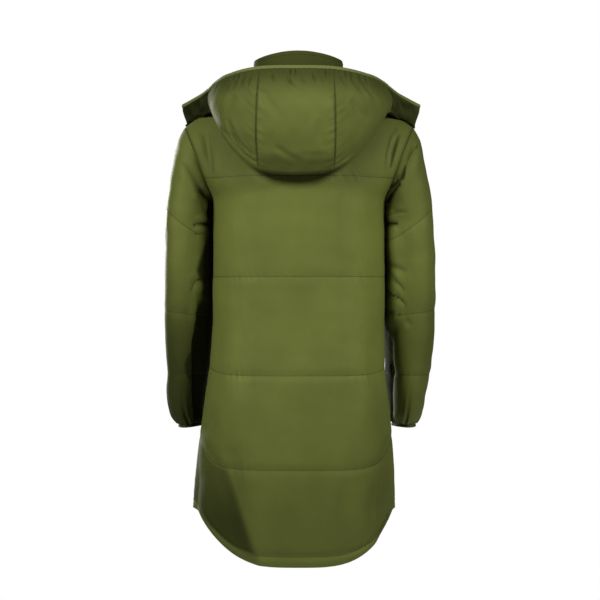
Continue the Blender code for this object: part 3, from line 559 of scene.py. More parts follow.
def cloth_look(name, color, roughness, sheen, weave, crinkle):
    """Woven cloth: its colour drifts a little over the coat, loses the share of painted shade that the
    piece's attribute gives, which also dulls its gloss, and is painted paler where that is negative.
    A fine weave and soft crinkles are bumps, and worn spots are slightly less glossy. All patterns use Object
    coordinates."""
    look = bpy.data.materials.new(name)
    look.use_nodes = True
    tree = look.node_tree
    place = add_node(tree, "TexCoord", {}).outputs["Object"]

    def noise(scale, detail, stretch=(1, 1, 1)):
        turned = add_node(tree, "Mapping", {"Vector": place, "Scale": stretch}).outputs["Vector"]
        made = add_node(tree, "TexNoise", {"Vector": turned, "Scale": scale, "Detail": detail})
        return made.outputs["Fac"]

    ramp = add_node(tree, "ValToRGB", {"Fac": noise(9.0, 3.0)})
    for stop, position, share in zip(ramp.color_ramp.elements, (0.30, 0.70), (0.90, 1.08)):
        stop.position = position
        stop.color = (*[c * share for c in color], 1)
    # Painted shade: the attribute takes its share of the colour, and painted light makes the colour paler
    # where that share is negative.
    painted_shading = add_node(tree, "Attribute", {}, attribute_name="painted_shading").outputs["Fac"]
    unshaded_share = add_node(tree, "Math", {0: 1.0, 1: painted_shading}, operation="SUBTRACT").outputs["Value"]
    shaded_colour = add_node(tree, "VectorMath", {0: ramp.outputs["Color"], "Scale": unshaded_share}, operation="SCALE")
    gloss = add_node(tree, "MapRange", {"Value": noise(26.0, 2.0), "To Min": roughness - 0.05,
                                        "To Max": roughness + 0.06}).outputs["Result"]
    shade_dulled_gloss = add_node(tree, "Math", {0: painted_shading, 1: 0.45, 2: gloss}, operation="MULTIPLY_ADD", use_clamp=True)
    woven = add_node(tree, "Math", {0: noise(weave, 1.0, (1, 1, 0.12)), 1: noise(weave, 1.0, (0.12, 1, 1))},
                     operation="ADD")
    fine = add_node(tree, "Bump", {"Strength": 0.25, "Distance": 0.0002, "Height": woven.outputs["Value"]})
    soft = add_node(tree, "Bump", {"Strength": 1.0, "Distance": crinkle, "Normal": fine.outputs["Normal"],
                                   "Height": noise(38.0, 2.5, (1, 1, 0.6))})
    shader = tree.nodes["Principled BSDF"].inputs
    shader["Sheen Weight"].default_value = sheen
    shader["Sheen Roughness"].default_value = 0.35
    shader["Sheen Tint"].default_value = (0.75, 0.85, 0.45, 1.0)
    shader["Specular IOR Level"].default_value = 0.26
    shader["Specular Tint"].default_value = (0.72, 0.85, 0.42, 1.0)
    tree.links.new(shaded_colour.outputs["Vector"], shader["Base Color"])
    tree.links.new(shade_dulled_gloss.outputs["Value"], shader["Roughness"])
    tree.links.new(soft.outputs["Normal"], shader["Normal"])
    return look


def ride_and_replace(piece, node):
    """The piece moves with the coat and stands for a node of the frame."""
    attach(piece, "garment")
    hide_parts(node)


OLIVE = (0.124, 0.142, 0.030)
nylon = cloth_look("olive_nylon", OLIVE, 0.58, 0.05, 900.0, 0.0011)
thread_look = cloth_look("olive_thread", (0.060, 0.072, 0.020), 0.55, 0.1, 2500.0, 0.0001)

levels = panel_rows()
across = panel_columns()
left_half = half_panel(1, False, levels, across)
right_half = half_panel(-1, False, levels, across)
left_half[:, 0] = right_half[:, 0] = (left_half[:, 0] + right_half[:, 0]) / 2
back_grid = np.concatenate([left_half[:, ::-1], right_half[:, 1:]], axis=1)
front_grids = {side: half_panel(side, True, levels, across) for side in (1, -1)}

# Creases on the back, as x and z at both ends, width and depth: soft drags from the yoke, and
# the folds where the skirt swings in at the tail's sides.
BACK_CREASES = (
    (0.012, -0.205, 0.004, -0.330, 0.010, 0.0010),
    (-0.030, -0.200, -0.020, -0.400, 0.012, 0.0012),
    (-0.062, -0.205, -0.052, -0.470, 0.013, 0.0012),
    (-0.080, -0.215, -0.088, -0.330, 0.009, 0.0010),
    (0.060, -0.210, 0.072, -0.340, 0.014, 0.0008),
    (0.130, -0.720, 0.088, -0.940, 0.020, 0.0050),
    (0.165, -0.800, 0.130, -0.930, 0.014, 0.0030),
    (-0.090, -0.780, -0.105, -0.940, 0.016, 0.0024),
    (-0.150, -0.780, -0.145, -0.900, 0.012, 0.0022),
    (0.140, -0.480, 0.158, -0.620, 0.012, 0.0018),
    (-0.140, -0.500, -0.160, -0.640, 0.012, 0.0016),
    (0.170, -0.110, 0.160, -0.185, 0.008, -0.0020),
    (-0.196, -0.108, -0.178, -0.174, 0.0040, 0.0036),
)
# Its folds that are too deep for light to reach, the same way, with the share of colour that their painted
# shade takes.
BACK_FOLD_SHADE = (
    (-0.196, -0.109, -0.179, -0.171, 0.0024, 0.60),
    (0.174, -0.105, 0.167, -0.180, 0.0060, 0.28),
    (-0.172, -0.845, -0.150, -0.895, 0.0060, 0.40),
    (0.185, -0.700, 0.150, -0.750, 0.0120, 0.26),
    (-0.168, -0.700, -0.150, -0.742, 0.0090, 0.18),
)
FRONT_CREASES = (
    (0.060, -0.300, 0.130, -0.225, 0.012, 0.0022),
    (-0.055, -0.320, -0.130, -0.230, 0.012, 0.0022),
    (0.050, -0.215, 0.110, -0.170, 0.010, 0.0014),
    (-0.060, -0.210, -0.115, -0.165, 0.010, 0.0014),
    (0.095, -0.840, 0.080, -0.680, 0.016, 0.0034),
    (-0.110, -0.830, -0.095, -0.660, 0.016, 0.0034),
    (0.150, -0.820, 0.140, -0.700, 0.012, 0.0020),
    (-0.045, -0.500, -0.055, -0.640, 0.012, 0.0012),
    (0.040, -0.440, 0.050, -0.560, 0.012, 0.0012),
)

# Large folds of the back, the same way: the skirt's dark lower left, which turns away from a crisp
# line, its right side, and the deep drags beside the armholes.
BACK_LEDGES = (
    (0.136, -0.770, 0.070, -0.950, 0.042, 0.0180),
    (-0.150, -0.800, -0.146, -0.930, -0.020, 0.0050),
    (-0.080, -0.760, -0.050, -0.900, -0.050, 0.0040),
    (0.196, -0.110, 0.172, -0.195, -0.013, 0.0050),
    (-0.194, -0.100, -0.172, -0.195, 0.013, 0.0045),
)
FRONT_LEDGES = (
    (0.140, -0.650, 0.120, -0.840, 0.030, 0.0050),
    (-0.090, -0.640, -0.110, -0.850, -0.035, 0.0060),
    (0.060, -0.300, 0.085, -0.420, 0.030, 0.0030),
    (-0.050, -0.330, -0.085, -0.440, -0.030, 0.0035),
)


# Height and length of the puckers beside the quilting and beside the seams, these also with how
# far they reach, and of the cloth's own unevenness. The padding is thinner towards the sides.
QUILT_PUCKERS = (0.00055, 0.013)
SEAM_PUCKERS = (0.0005, 0.016, 0.010)
PANEL_DRIFTS = ((0.0007, 0.11), (0.0003, 0.045))
THINNER_SIDES = 0.55


def panel_relief(grid, levels, folds, seed):
    """How far the outside of a body panel stands off its inside: padding between the quilting,
    short puckers beside it, listed creases and a soft drift."""
    held, near_line = quilting(levels)
    first, last = to_sides(grid, 6)
    edges = rise(np.minimum(first, last))
    sideways = np.clip(np.abs(grid[..., 0]) / SECTIONS["half_width"].max(), 0, 1)
    full = held[:, None] * edges
    off = PUFF * full * (1 - THINNER_SIDES * sideways**6)
    across_row = along_rows(grid)
    down = along_columns(grid)
    height, length = QUILT_PUCKERS
    off += near_line[:, None] * edges * height * waves(across_row + 0.3 * down, length, seed)
    height, length, reach = SEAM_PUCKERS
    beside_seam = np.exp(-first / reach) + np.exp(-last / reach)
    off += beside_seam * (1 - np.exp(-2 * beside_seam)) * height * waves(down, length, seed + 1)
    off += edges * creases(folds, grid[..., 0], grid[..., 2])
    return off + full * unevenness(grid, (seed + 2, seed + 3), PANEL_DRIFTS)


def share_edges(grids, facings):
    """Where edges of pieces meet, their walls thicken in the same direction: the unit sum."""
    cuts = [(0, slice(None)), (-1, slice(None)), (slice(None), 0), (slice(None), -1)]
    points = np.concatenate([grids[name][cut] for name in grids for cut in cuts])
    ways = np.concatenate([facings[name][cut] for name in grids for cut in cuts])
    _, group = np.unique(np.round(points * 1e5).astype(np.int64), axis=0, return_inverse=True)
    sums = np.zeros((group.max() + 1, 3))
    np.add.at(sums, group.ravel(), ways)
    shared = unit(sums[group.ravel()])
    start = 0
    for name in grids:
        for cut in cuts:
            count = len(grids[name][cut])
            facings[name][cut] = shared[start:start + count]
            start += count


COLLAR_TOP = (0.059, 0.045, 0.005)  # its height behind, at the sides and before
COLLAR_FLARE = 1.065
COLLAR_SHIFT = 0.0015
COLLAR_LEAN = 0.012
COLLAR_ROWS = 26


def collar_surface():
    """The collar: the neckline carried straight up to its flared top, higher behind than before."""
    neck = NECK_COLUMNS
    middle = len(across) - 1
    rear = back_grid[-1, middle - neck:middle + neck + 1]
    line = np.concatenate([front_grids[1][-1, :neck + 1], rear[1:-1], front_grids[-1][-1, :neck + 1][::-1]])
    backness = np.clip(line[:, 1] / NECK_BACK_Y, 0, 1)
    frontness = np.clip(line[:, 1] / NECK_FRONT[0], 0, 1)
    top = line.copy()
    top[:, 0] = np.where(np.abs(line[:, 0]) > 2 * ZIP_HALF_WIDTH, line[:, 0] * COLLAR_FLARE, line[:, 0])
    top[:, 0] += COLLAR_SHIFT * (1 - frontness)
    top[:, 1] += COLLAR_LEAN * (backness - 0.5 * frontness)
    top[:, 2] = (COLLAR_TOP[1] + (COLLAR_TOP[0] - COLLAR_TOP[1]) * backness**2
                 + (COLLAR_TOP[2] - COLLAR_TOP[1]) * frontness**1.5)
    return line + (top - line) * np.linspace(0, 1, COLLAR_ROWS)[:, None, None]


LEDGE_FADE = 0.035          # how far from the side seams a large fold has its full depth
back_grid = eased_at_underarm(back_grid, levels)
for grid, large in zip((back_grid, *front_grids.values()), (BACK_LEDGES, FRONT_LEDGES, FRONT_LEDGES)):
    held = ease(np.minimum(*to_sides(grid, 6)) / LEDGE_FADE)
    grid[:-1] = draped(grid, ledges(large, grid[..., 0], grid[..., 2]) * held)[:-1]

body_grids = {"back": back_grid, "front_left": front_grids[1], "front_right": front_grids[-1],
              "collar": collar_surface()}
body_facing = {name: normals_of(grid) for name, grid in body_grids.items()}
share_edges(body_grids, body_facing)
yoke = levels >= 5
yoke_turns = read_table(YOKE_ROWS, "level", "armhole_deg", levels[yoke])
for side, name, column in ((1, "left", 0), (-1, "right", -1)):
    body_facing["back"][yoke, column] = armhole_direction(side, yoke_turns)
    body_facing["front_" + name][yoke, -1] = armhole_direction(side, 360 - yoke_turns)
    body_facing["front_" + name][:, 0, 0] = 0
    body_facing["collar"][:, column, 0] = 0
body_facing = {name: unit(facing) for name, facing in body_facing.items()}

insides = {name: trimmed(grid) for name, grid in body_grids.items()}
insides["collar"][0, :, 2] += SEAM_GAP
back_off = WALL_AT_SEAM + panel_relief(back_grid, levels, BACK_CREASES, 11)
outsides = {"back": insides["back"] + body_facing["back"] * back_off[..., None]}

# The hood's outline on the back for +X, as x and z, and where the skirt's lower left with painted shade
# begins.
# The rest are shares of colour that painted shade takes on the back, and the painted light that makes its
# sides paler.
HOOD_OUTLINE = ((0.000, -0.190), (0.070, -0.181), (0.107, -0.158),
                (0.138, -0.121), (0.160, -0.083), (0.172, -0.062))
HOOD_MIDDLE_X = 0.006
SKIRT_SHADE = {"x": 0.134, "z": -0.770, "slope": 0.36, "width": 0.010}
SKIRT_PAINTED_SHADE = ((-0.86, -0.75), (0.70, 0.40))
LOW_PAINTED_SHADE = ((-0.95, -0.80, -0.70, -0.60), (0.24, 0.20, 0.06, 0.0))
HEM_SHADE_LIFT = (0.948, 0.026, 0.004, 0.62)  # the hem's depth, and the reach, edge and share of the painted shade taken off there
ARMHOLE_SEAM_SHADE, ARMHOLE_REACH = 0.7, 0.0042
PAINTED_HOOD_SHADOW, BESIDE_HOOD_REACH = (0.36, 0.26), 0.034
SIDES_PAINTED_LIGHT = 0.20


def back_painted_shade(grid, levels):
    """The painted shade on the back, as the share of colour it takes: the most of the skirt's lower left
    past its shade line, the low skirt less its hem, the armholes' seams as Gaussians of their distance,
    the hood's painted shadow on the yoke beside it, and the deepest folds. The sides, which take no
    painted shade, are painted paler, as painted light."""
    x, z = grid[..., 0], grid[..., 2]
    below_line = ease((QUILT_LINES["level"][1] - levels[:, None]) / 0.05)
    past = (x - SKIRT_SHADE["x"] - (z - SKIRT_SHADE["z"]) * SKIRT_SHADE["slope"]) / SKIRT_SHADE["width"]
    painted_shade = np.interp(z, *SKIRT_PAINTED_SHADE) * ease(past / 2 + 0.5) * below_line
    painted_shade = np.maximum(painted_shade, np.interp(z, *LOW_PAINTED_SHADE))
    depth, reach, edge, share = HEM_SHADE_LIFT
    painted_shade *= 1 - ease((reach - np.abs(line_heights(levels)[:, None] + depth)) / edge) * share
    for line in (grid[levels >= 5, 0], grid[levels >= 5, -1]):
        near = np.exp(-((distance_to(grid, line[::3]) / ARMHOLE_REACH) ** 2))
        painted_shade = np.maximum(painted_shade, ARMHOLE_SEAM_SHADE * near)
    outline = [np.interp(np.linspace(0, 5, 41), np.arange(6), column) for column in zip(*HOOD_OUTLINE)]
    to_hood = np.min([np.hypot(np.abs(x - HOOD_MIDDLE_X) - a, z - b) for a, b in zip(*outline)], axis=0)
    hood_shadow = np.where(x < 0, *PAINTED_HOOD_SHADOW) * np.exp(-((to_hood / BESIDE_HOOD_REACH) ** 2))
    hood_shadow *= ease((np.abs(x) - 0.06) / 0.05)
    painted_shade = np.maximum(painted_shade, np.maximum(hood_shadow, painted_fold_shade(BACK_FOLD_SHADE, x, z)))
    side_light = ease((np.abs(x) - 0.075) / 0.05) * ease((-0.20 - z) / 0.04) * ease((z + 0.66) / 0.08)
    return painted_shade - SIDES_PAINTED_LIGHT * side_light * (1 - ease(painted_shade / 0.2))


# Its colour carries painted shade, and painted light on its sides.
back = cloth_wall("back_panel", insides["back"], outsides["back"], nylon,
                  painted_shading=back_painted_shade(back_grid, levels))
ride_and_replace(back, "back")

# ---------------------------------------------------------------- the fronts
# Two padded panels like the back, straight at the hem, that meet at the zip. The photo doesn't
# show them, so they are plain: the same lines of quilting, and the folds a hanging coat has.

for side, name in ((1, "left"), (-1, "right")):
    key = "front_" + name
    grid = body_grids[key]
    off = WALL_AT_SEAM + panel_relief(grid, levels, FRONT_CREASES, 21 + side)
    outsides[key] = insides[key] + body_facing[key] * off[..., None]
    front = cloth_wall(key + "_panel", insides[key], outsides[key], nylon)
    ride_and_replace(front, key)

# ---------------------------------------------------------------- the sleeves
# Tubes set into the dropped armholes, quilted three times, ballooning at the wrist and gathered
# into the cuffs. They hang a little forward, and crease at the armpit and the elbow.

SLEEVE_RINGS = table(
    ("station", "outer_x", "outer_z", "inner_x", "inner_z", "mid_y", "half_depth", "turned", "lean"),
    [
        (1, 0.2345, -0.115, 0.1755, -0.249, -0.0075, 0.0785, 0.004, 0.000),
        (2, 0.2425, -0.152, 0.1765, -0.267, -0.0080, 0.0790, 0.011, 0.000),
        (3, 0.2515, -0.200, 0.1750, -0.292, -0.0090, 0.0790, 0.017, 0.000),
        (4, 0.2575, -0.250, 0.1740, -0.318, -0.0105, 0.0780, 0.021, 0.000),
        (5, 0.2605, -0.300, 0.1740, -0.350, -0.0130, 0.0770, 0.023, 0.000),
        (6, 0.2625, -0.360, 0.1745, -0.390, -0.0170, 0.0750, 0.023, 0.000),
        (7, 0.2635, -0.430, 0.1755, -0.445, -0.0250, 0.0720, 0.022, 0.000),
        (8, 0.2630, -0.505, 0.1780, -0.512, -0.0360, 0.0690, 0.021, 0.001),
        (9, 0.2590, -0.570, 0.1830, -0.572, -0.0500, 0.0660, 0.018, 0.003),
        (10, 0.2540, -0.620, 0.1880, -0.620, -0.0660, 0.0630, 0.014, 0.006),
        (11, 0.2480, -0.655, 0.1935, -0.655, -0.0780, 0.0560, 0.010, 0.006),
        (12, 0.2370, -0.682, 0.1980, -0.682, -0.0840, 0.0420, 0.006, 0.004),
    ],
)
SLEEVE_QUILTS = (3.8, 7.25, 9.15)  # the stations of the lines of quilting
SLEEVE_DRAWS = (0.12, 0.25, 0.30)
SLEEVE_INNER_X = 0.181      # where the sleeves lie against the coat
SLEEVE_ROWS = (64, 39, 27, 41)     # between the armhole, the lines of quilting and the wrist
SLEEVE_COLUMNS = 112
ARM_ROUND = 0.065           # metres of cloth to a radian round the arm, for the creases

# Creases: turn round the arm in degrees (0 outside, 90 behind, 180 against the coat) and z at
# both ends, width and depth.
SLEEVE_CREASES = {
    1: (
        (68, -0.165, 150, -0.268, 0.007, 0.0036),
        (112, -0.213, 150, -0.238, 0.007, 0.0080),
        (122, -0.283, 186, -0.283, 0.006, 0.0080),
        (128, -0.302, 165, -0.299, 0.004, 0.0035),
        (121, -0.404, 152, -0.386, 0.007, 0.0026),
        (152, -0.386, 185, -0.392, 0.008, 0.0026),
        (134, -0.428, 176, -0.404, 0.007, 0.0026),
        (104, -0.450, 128, -0.500, 0.010, 0.0024),
        (230, -0.300, 300, -0.330, 0.010, 0.0036),
        (220, -0.380, 310, -0.400, 0.011, 0.0044),
        (230, -0.440, 290, -0.430, 0.009, 0.0034),
        (240, -0.530, 320, -0.545, 0.009, 0.0024),
        (20, -0.240, 60, -0.330, 0.014, 0.0016),
    ),
    -1: (
        (46, -0.130, 98, -0.192, 0.007, 0.0060),
        (98, -0.190, 142, -0.214, 0.006, 0.0050),
        (106, -0.203, 150, -0.236, 0.006, 0.0050),
        (112, -0.258, 178, -0.264, 0.004, 0.0020),
        (138, -0.281, 186, -0.281, 0.008, 0.0030),
        (186, -0.357, 126, -0.372, 0.009, 0.0026),
        (190, -0.363, 128, -0.412, 0.006, 0.0030),
        (193, -0.405, 146, -0.430, 0.006, 0.0034),
        (154, -0.420, 122, -0.442, 0.005, 0.0040),
        (193, -0.448, 138, -0.461, 0.005, 0.0030),
        (128, -0.470, 108, -0.480, 0.006, 0.0025),
        (172, -0.560, 150, -0.585, 0.008, 0.0050),
        (230, -0.290, 300, -0.320, 0.010, 0.0036),
        (220, -0.370, 310, -0.395, 0.011, 0.0044),
        (235, -0.520, 310, -0.540, 0.009, 0.0024),
    ),
}
# Their depths that light doesn't reach, with the share of colour that painted shade takes there.
SLEEVE_FOLD_SHADE = {
    1: (
        (112, -0.213, 150, -0.238, 0.0040, 0.85),
        (122, -0.283, 186, -0.283, 0.0055, 0.88),
        (128, -0.302, 165, -0.299, 0.0022, 0.50),
        (68, -0.165, 150, -0.268, 0.0026, 0.25),
        (118, -0.412, 135, -0.392, 0.0030, 0.70),
        (135, -0.392, 185, -0.392, 0.0040, 0.80),
    ),
    -1: (
        (42, -0.128, 85, -0.170, 0.0036, 0.55),
        (84, -0.168, 101, -0.197, 0.0052, 0.88),
        (100, -0.195, 142, -0.215, 0.0042, 0.88),
        (106, -0.203, 127, -0.222, 0.0045, 0.90),
        (127, -0.222, 152, -0.238, 0.0070, 0.93),
        (112, -0.258, 178, -0.264, 0.0018, 0.50),
        (142, -0.281, 186, -0.281, 0.0065, 0.93),
        (186, -0.357, 126, -0.372, 0.0060, 0.35),
        (190, -0.363, 158, -0.385, 0.0030, 0.65),
        (158, -0.385, 128, -0.412, 0.0030, 0.55),
        (193, -0.405, 150, -0.428, 0.0036, 0.82),
        (152, -0.421, 124, -0.441, 0.0028, 0.78),
        (193, -0.448, 141, -0.461, 0.0026, 0.75),
        (193, -0.512, 165, -0.538, 0.0070, 0.60),
        (172, -0.560, 152, -0.582, 0.0055, 0.75),
        (190, -0.580, 165, -0.680, 0.0060, 0.60),
    ),
}

# Large folds of the sleeves, as turn and z too: the left one's inner side is hollow below the elbow.
SLEEVE_LEDGES = {
    1: (
        (132, -0.440, 122, -0.520, 0.016, 0.014),
        (120, -0.520, 124, -0.675, 0.018, 0.018),
        (138, -0.205, 152, -0.265, 0.012, 0.012),
    ),
    -1: (
        (138, -0.215, 165, -0.235, 0.010, 0.008),
        (155, -0.520, 150, -0.670, 0.010, 0.006),
    ),
}
# Where the sleeve's inner side is in deep shade, painted into its colour: from this turn at each height to
# the coat.
SLEEVE_SHADE = {
    1: table(("z", "turn", "painted_shading"), [
        (-0.690, 108, 0.90), (-0.655, 116, 0.90), (-0.615, 117, 0.90), (-0.590, 111, 0.90),
        (-0.572, 101, 0.88), (-0.556, 99, 0.88), (-0.540, 108, 0.86), (-0.525, 121, 0.86),
        (-0.510, 131, 0.88), (-0.455, 134, 0.88), (-0.430, 148, 0.82), (-0.400, 146, 0.82),
        (-0.375, 131, 0.88), (-0.350, 140, 0.88), (-0.330, 149, 0.86), (-0.300, 162, 0.80),
        (-0.265, 156, 0.85), (-0.235, 138, 0.92), (-0.220, 132, 0.80), (-0.205, 150, 0.0)]),
    -1: table(("z", "turn", "painted_shading"), [
        (-0.690, 163, 0.85), (-0.640, 166, 0.85), (-0.580, 166, 0.85), (-0.550, 170, 0.85),
        (-0.500, 176, 0.80), (-0.460, 182, 0.70), (-0.310, 182, 0.50), (-0.290, 174, 0.40),
        (-0.248, 172, 0.40), (-0.232, 150, 0.85), (-0.205, 150, 0.0)]),
}
# How much painted shade the whole sleeve takes at some heights: the lower sleeves turn away from the light.
SLEEVE_LOW_SHADE = {
    1: ((-0.70, -0.56, -0.49, -0.42, -0.36, -0.33), (0.72, 0.68, 0.54, 0.24, 0.06, 0.0)),
    -1: ((-0.70, -0.60, -0.52, -0.46, -0.40, -0.28, -0.20), (0.16, 0.20, 0.27, 0.20, 0.0, 0.0, 0.24)),
}


def sleeve_surface(side, stations, degrees):
    """The sleeve's base: at each station an oval, across from its outer to its inner end and as
    deep as the table says, its back turned out and its front in, as an arm hangs. The first
    station is the armhole, and station 1 the first such oval."""
    turn = np.radians(degrees)[None, :, None]
    at = np.maximum(stations, 1.0)
    read = {name: read_table(SLEEVE_RINGS, "station", name, at)[:, None, None] for name in SLEEVE_RINGS}
    nothing = np.zeros_like(read["outer_x"])
    outer = np.concatenate([read["outer_x"], nothing, read["outer_z"]], axis=-1)
    inner = np.concatenate([read["inner_x"], nothing, read["inner_z"]], axis=-1)
    middle = (outer + inner) / 2 + np.concatenate([nothing, read["mid_y"], nothing], axis=-1)
    deep = np.concatenate([read["turned"], read["half_depth"], nothing], axis=-1)
    reach = (outer - inner) / 2
    reach[..., :1] = np.sqrt(reach[..., :1] ** 2 - read["turned"] ** 2)
    rings = middle + np.cos(turn) * reach + np.sin(turn) * deep
    loop = armhole(1, degrees)
    loop[:, 0] += UNDERARM_GAP * (1 - np.cos(np.radians(degrees))) / 2
    share = np.minimum(stations, 1.0)[:, None, None]
    rings = loop[None] * (1 - share) + rings * share
    rings[..., 0] *= side
    rings[..., 0] += read_table(SLEEVE_RINGS, "station", "lean", stations)[:, None]
    return rings


def round_the_arm(folds):
    """Folds given by turns in degrees, with the turns as metres of cloth round the arm."""
    return [(math.radians(a0) * ARM_ROUND, z0, math.radians(a1) * ARM_ROUND, z1, *others)
            for a0, z0, a1, z1, *others in folds]


def bump(turned, middle, width, power=2):
    """1 at a turn round the arm and falling off to both sides: e to the minus power of the widths."""
    return np.exp(-(((turned - middle) / width) ** power))


def sleeve_painted_shade(side, grid, turned, drop, deep):
    """The painted shade on a sleeve, as the share of colour it takes: the most of its inner side from a turn
    that its table gives for each height, its lower stretch, its deep folds, the depths of its creases,
    and the armhole's seam behind as a Gaussian of its distance."""
    inner = SLEEVE_SHADE[side]
    past = ease((turned - np.interp(drop, inner["z"], inner["turn"]) + 5) / 14)
    painted_shade = np.interp(drop, inner["z"], inner["painted_shading"]) * past * (1 - ease((turned - 218) / 25))
    seam_reach = np.interp(turned, (60, 100, 140), (0.0028, 0.0045, 0.0080))
    seam = np.exp(-((distance_to(grid, grid[0][::3]) / seam_reach) ** 2))
    round_arm = np.radians(turned) * ARM_ROUND
    for other in (np.interp(drop, *SLEEVE_LOW_SHADE[side]),
                  painted_fold_shade(round_the_arm(SLEEVE_FOLD_SHADE[side]), round_arm, drop),
                  0.55 * np.clip(-deep / 0.007, 0, 1) * (1 - bump(turned, *FACES_COAT)),
                  0.85 * bump(turned, 125, 45, 4) * seam):
        painted_shade = np.maximum(painted_shade, other)
    return painted_shade


def pushed(side, grid, turned, drop):
    """The right sleeve's inner side pushed forward where it lies on the coat, and the left sleeve's
    outer side a little slimmer, both fading up and down the arm."""
    grid = grid.copy()
    if side == -1:
        lying_on = ease((drop + 0.50) / 0.04) * ease((-0.235 - drop) / 0.03)
        grid[..., 1] += RIGHT_PUSH * bump(turned, 168, 26) * lying_on
    else:
        slimmer = ease((-0.28 - drop) / 0.05) * ease((drop + 0.62) / 0.05)
        grid[..., 0] -= LEFT_SLIMMER * slimmer * (1 + np.cos(np.radians(turned))) / 2
    return grid


FACES_COAT = (182, 17)      # the turn that lies against the coat, and its width, where folds are flat
RIGHT_PUSH = 0.027
LEFT_SLIMMER = 0.0045
AGAINST_REACH = 0.03        # how far from the coat a sleeve's padding is pressed flatter
SLEEVE_QUILT_REACH = 0.014
SLEEVE_PUCKERS = (0.0004, 0.013, 0.011)  # height, length and reach of those beside the quilting
SLEEVE_DRIFTS = ((0.0008, 0.09), (0.0003, 0.04))
THINNEST = -0.0020          # how far the outside may come in, so that the wall keeps 1 mm
JOIN_SHARES = (0.8, 0.55, 0.3, 0.12)  # how much the first rows still face as the armhole does
WRIST_GATHERS = ((17, 0.4), (23, 2.1), (29, 4.0), (13, 1.2))  # folds round the wrist and their phase
GATHER_DEPTH, GATHER_REACH = 0.0032, 0.026

stops = (0.0, *SLEEVE_QUILTS, 12.0)
spans = [np.linspace(a, b, count, endpoint=False) for a, b, count in zip(stops, stops[1:], SLEEVE_ROWS)]
sleeve_stations = np.append(np.concatenate(spans), stops[-1])
sleeve_degrees = 360 * np.arange(SLEEVE_COLUMNS) / SLEEVE_COLUMNS
cuff_edges = {}
for side, name in ((1, "left"), (-1, "right")):
    key = "sleeve_" + name
    grid = sleeve_surface(side, sleeve_stations, sleeve_degrees)
    heights = grid[:, 0, 2]
    gaps = np.abs(heights[:, None] - np.interp(SLEEVE_QUILTS, sleeve_stations, heights)[None, :])
    wrist = np.abs(heights - heights[-1])
    against = ease((SLEEVE_INNER_X + AGAINST_REACH - np.abs(grid[..., 0])) / AGAINST_REACH)
    from_armhole = distance_to(grid, grid[0][::4])
    turned = np.broadcast_to(sleeve_degrees[None, :], grid.shape[:2])
    round_arm = np.radians(turned) * ARM_ROUND
    drop = grid[..., 2].copy()
    deep = (creases(round_the_arm(SLEEVE_CREASES[side]), round_arm, drop)
            + ledges(round_the_arm(SLEEVE_LEDGES[side]), round_arm, drop))
    # Folds fade towards the wrist and the armhole, and on the side that lies against the coat.
    deep = np.where(deep > 0, deep * (1 - against), deep) * ease(wrist / 0.03)[:, None]
    deep *= ease(from_armhole / 0.012)
    deep *= 1 - 0.85 * bump(turned, *FACES_COAT)
    # Painted shade for the sleeve's colour.
    shade = sleeve_painted_shade(side, grid, turned, drop, deep)
    grid = pushed(side, draped(grid, deep, closed=True), turned, drop)
    facing = normals_of(grid, closed=True)
    facing[0] = armhole_direction(side, sleeve_degrees)
    facing[1:5] = unit(facing[1:5] + facing[0] * np.array(JOIN_SHARES)[:, None, None])
    drawn_in = np.array(SLEEVE_DRAWS) * (1 - np.sqrt(ease(gaps / SLEEVE_QUILT_REACH)))
    full = (1 - drawn_in.max(axis=1))[:, None] * rise(from_armhole)
    off = PUFF * full * np.sqrt(ease(wrist / 0.022))[:, None] * (1 - 0.6 * against)
    height, length, reach = SLEEVE_PUCKERS
    off += np.exp(-gaps.min(axis=1) / reach)[:, None] * height * waves(round_arm, length, 31 + side)
    gathered = np.exp(-wrist / GATHER_REACH)[:, None] * ease(wrist / 0.004)[:, None]
    off += gathered * GATHER_DEPTH * (sum(np.sin(n * np.radians(turned) + p) for n, p in WRIST_GATHERS) / 2.2)
    off += full * unevenness(grid, (41 + side, 51 + side), SLEEVE_DRIFTS)
    inside = trimmed(grid, closed=True)
    outside = inside + facing * (WALL_AT_SEAM + np.maximum(off, THINNEST))[..., None]
    outsides[key] = outside
    cuff_edges[side] = (inside, outside, facing)
    sleeve = cloth_wall(key + "_tube", inside, outside, nylon, closed=True, painted_shading=shade)
    ride_and_replace(sleeve, key)

# ---------------------------------------------------------------- the collar
# A padded stand collar on the neckline, stitched round its top edge, open before at the zip.

COLLAR_PUFF = 0.003
COLLAR_PAINTED_SHADE = 0.58          # of its colour, taken by painted shade, as it lies in the hood's shade

collar_grid = body_grids["collar"]
arch = np.sin(np.pi * np.linspace(0, 1, COLLAR_ROWS))[:, None]
edges = rise(np.minimum(*to_sides(collar_grid, 4)))
collar_off = WALL_AT_SEAM + COLLAR_PUFF * arch**0.7 * edges
collar_off += 0.0005 * waves(along_rows(collar_grid), 0.022, 61) * arch
outsides["collar"] = insides["collar"] + body_facing["collar"] * collar_off[..., None]
collar = cloth_wall("collar_stand", insides["collar"], outsides["collar"], nylon,
                    painted_shading=np.full(collar_off.shape, COLLAR_PAINTED_SHADE))
ride_and_replace(collar, "collar")

# ---------------------------------------------------------------- the hood
# Three padded panels sewn to the neck seam and turned down the back. The wall lies on the coat,
# turns up round a soft fold at the bottom, and rises to the face opening, whose bound edge is
# gathered by elastic. Its free front ends lie out over the shoulders, tightly gathered.

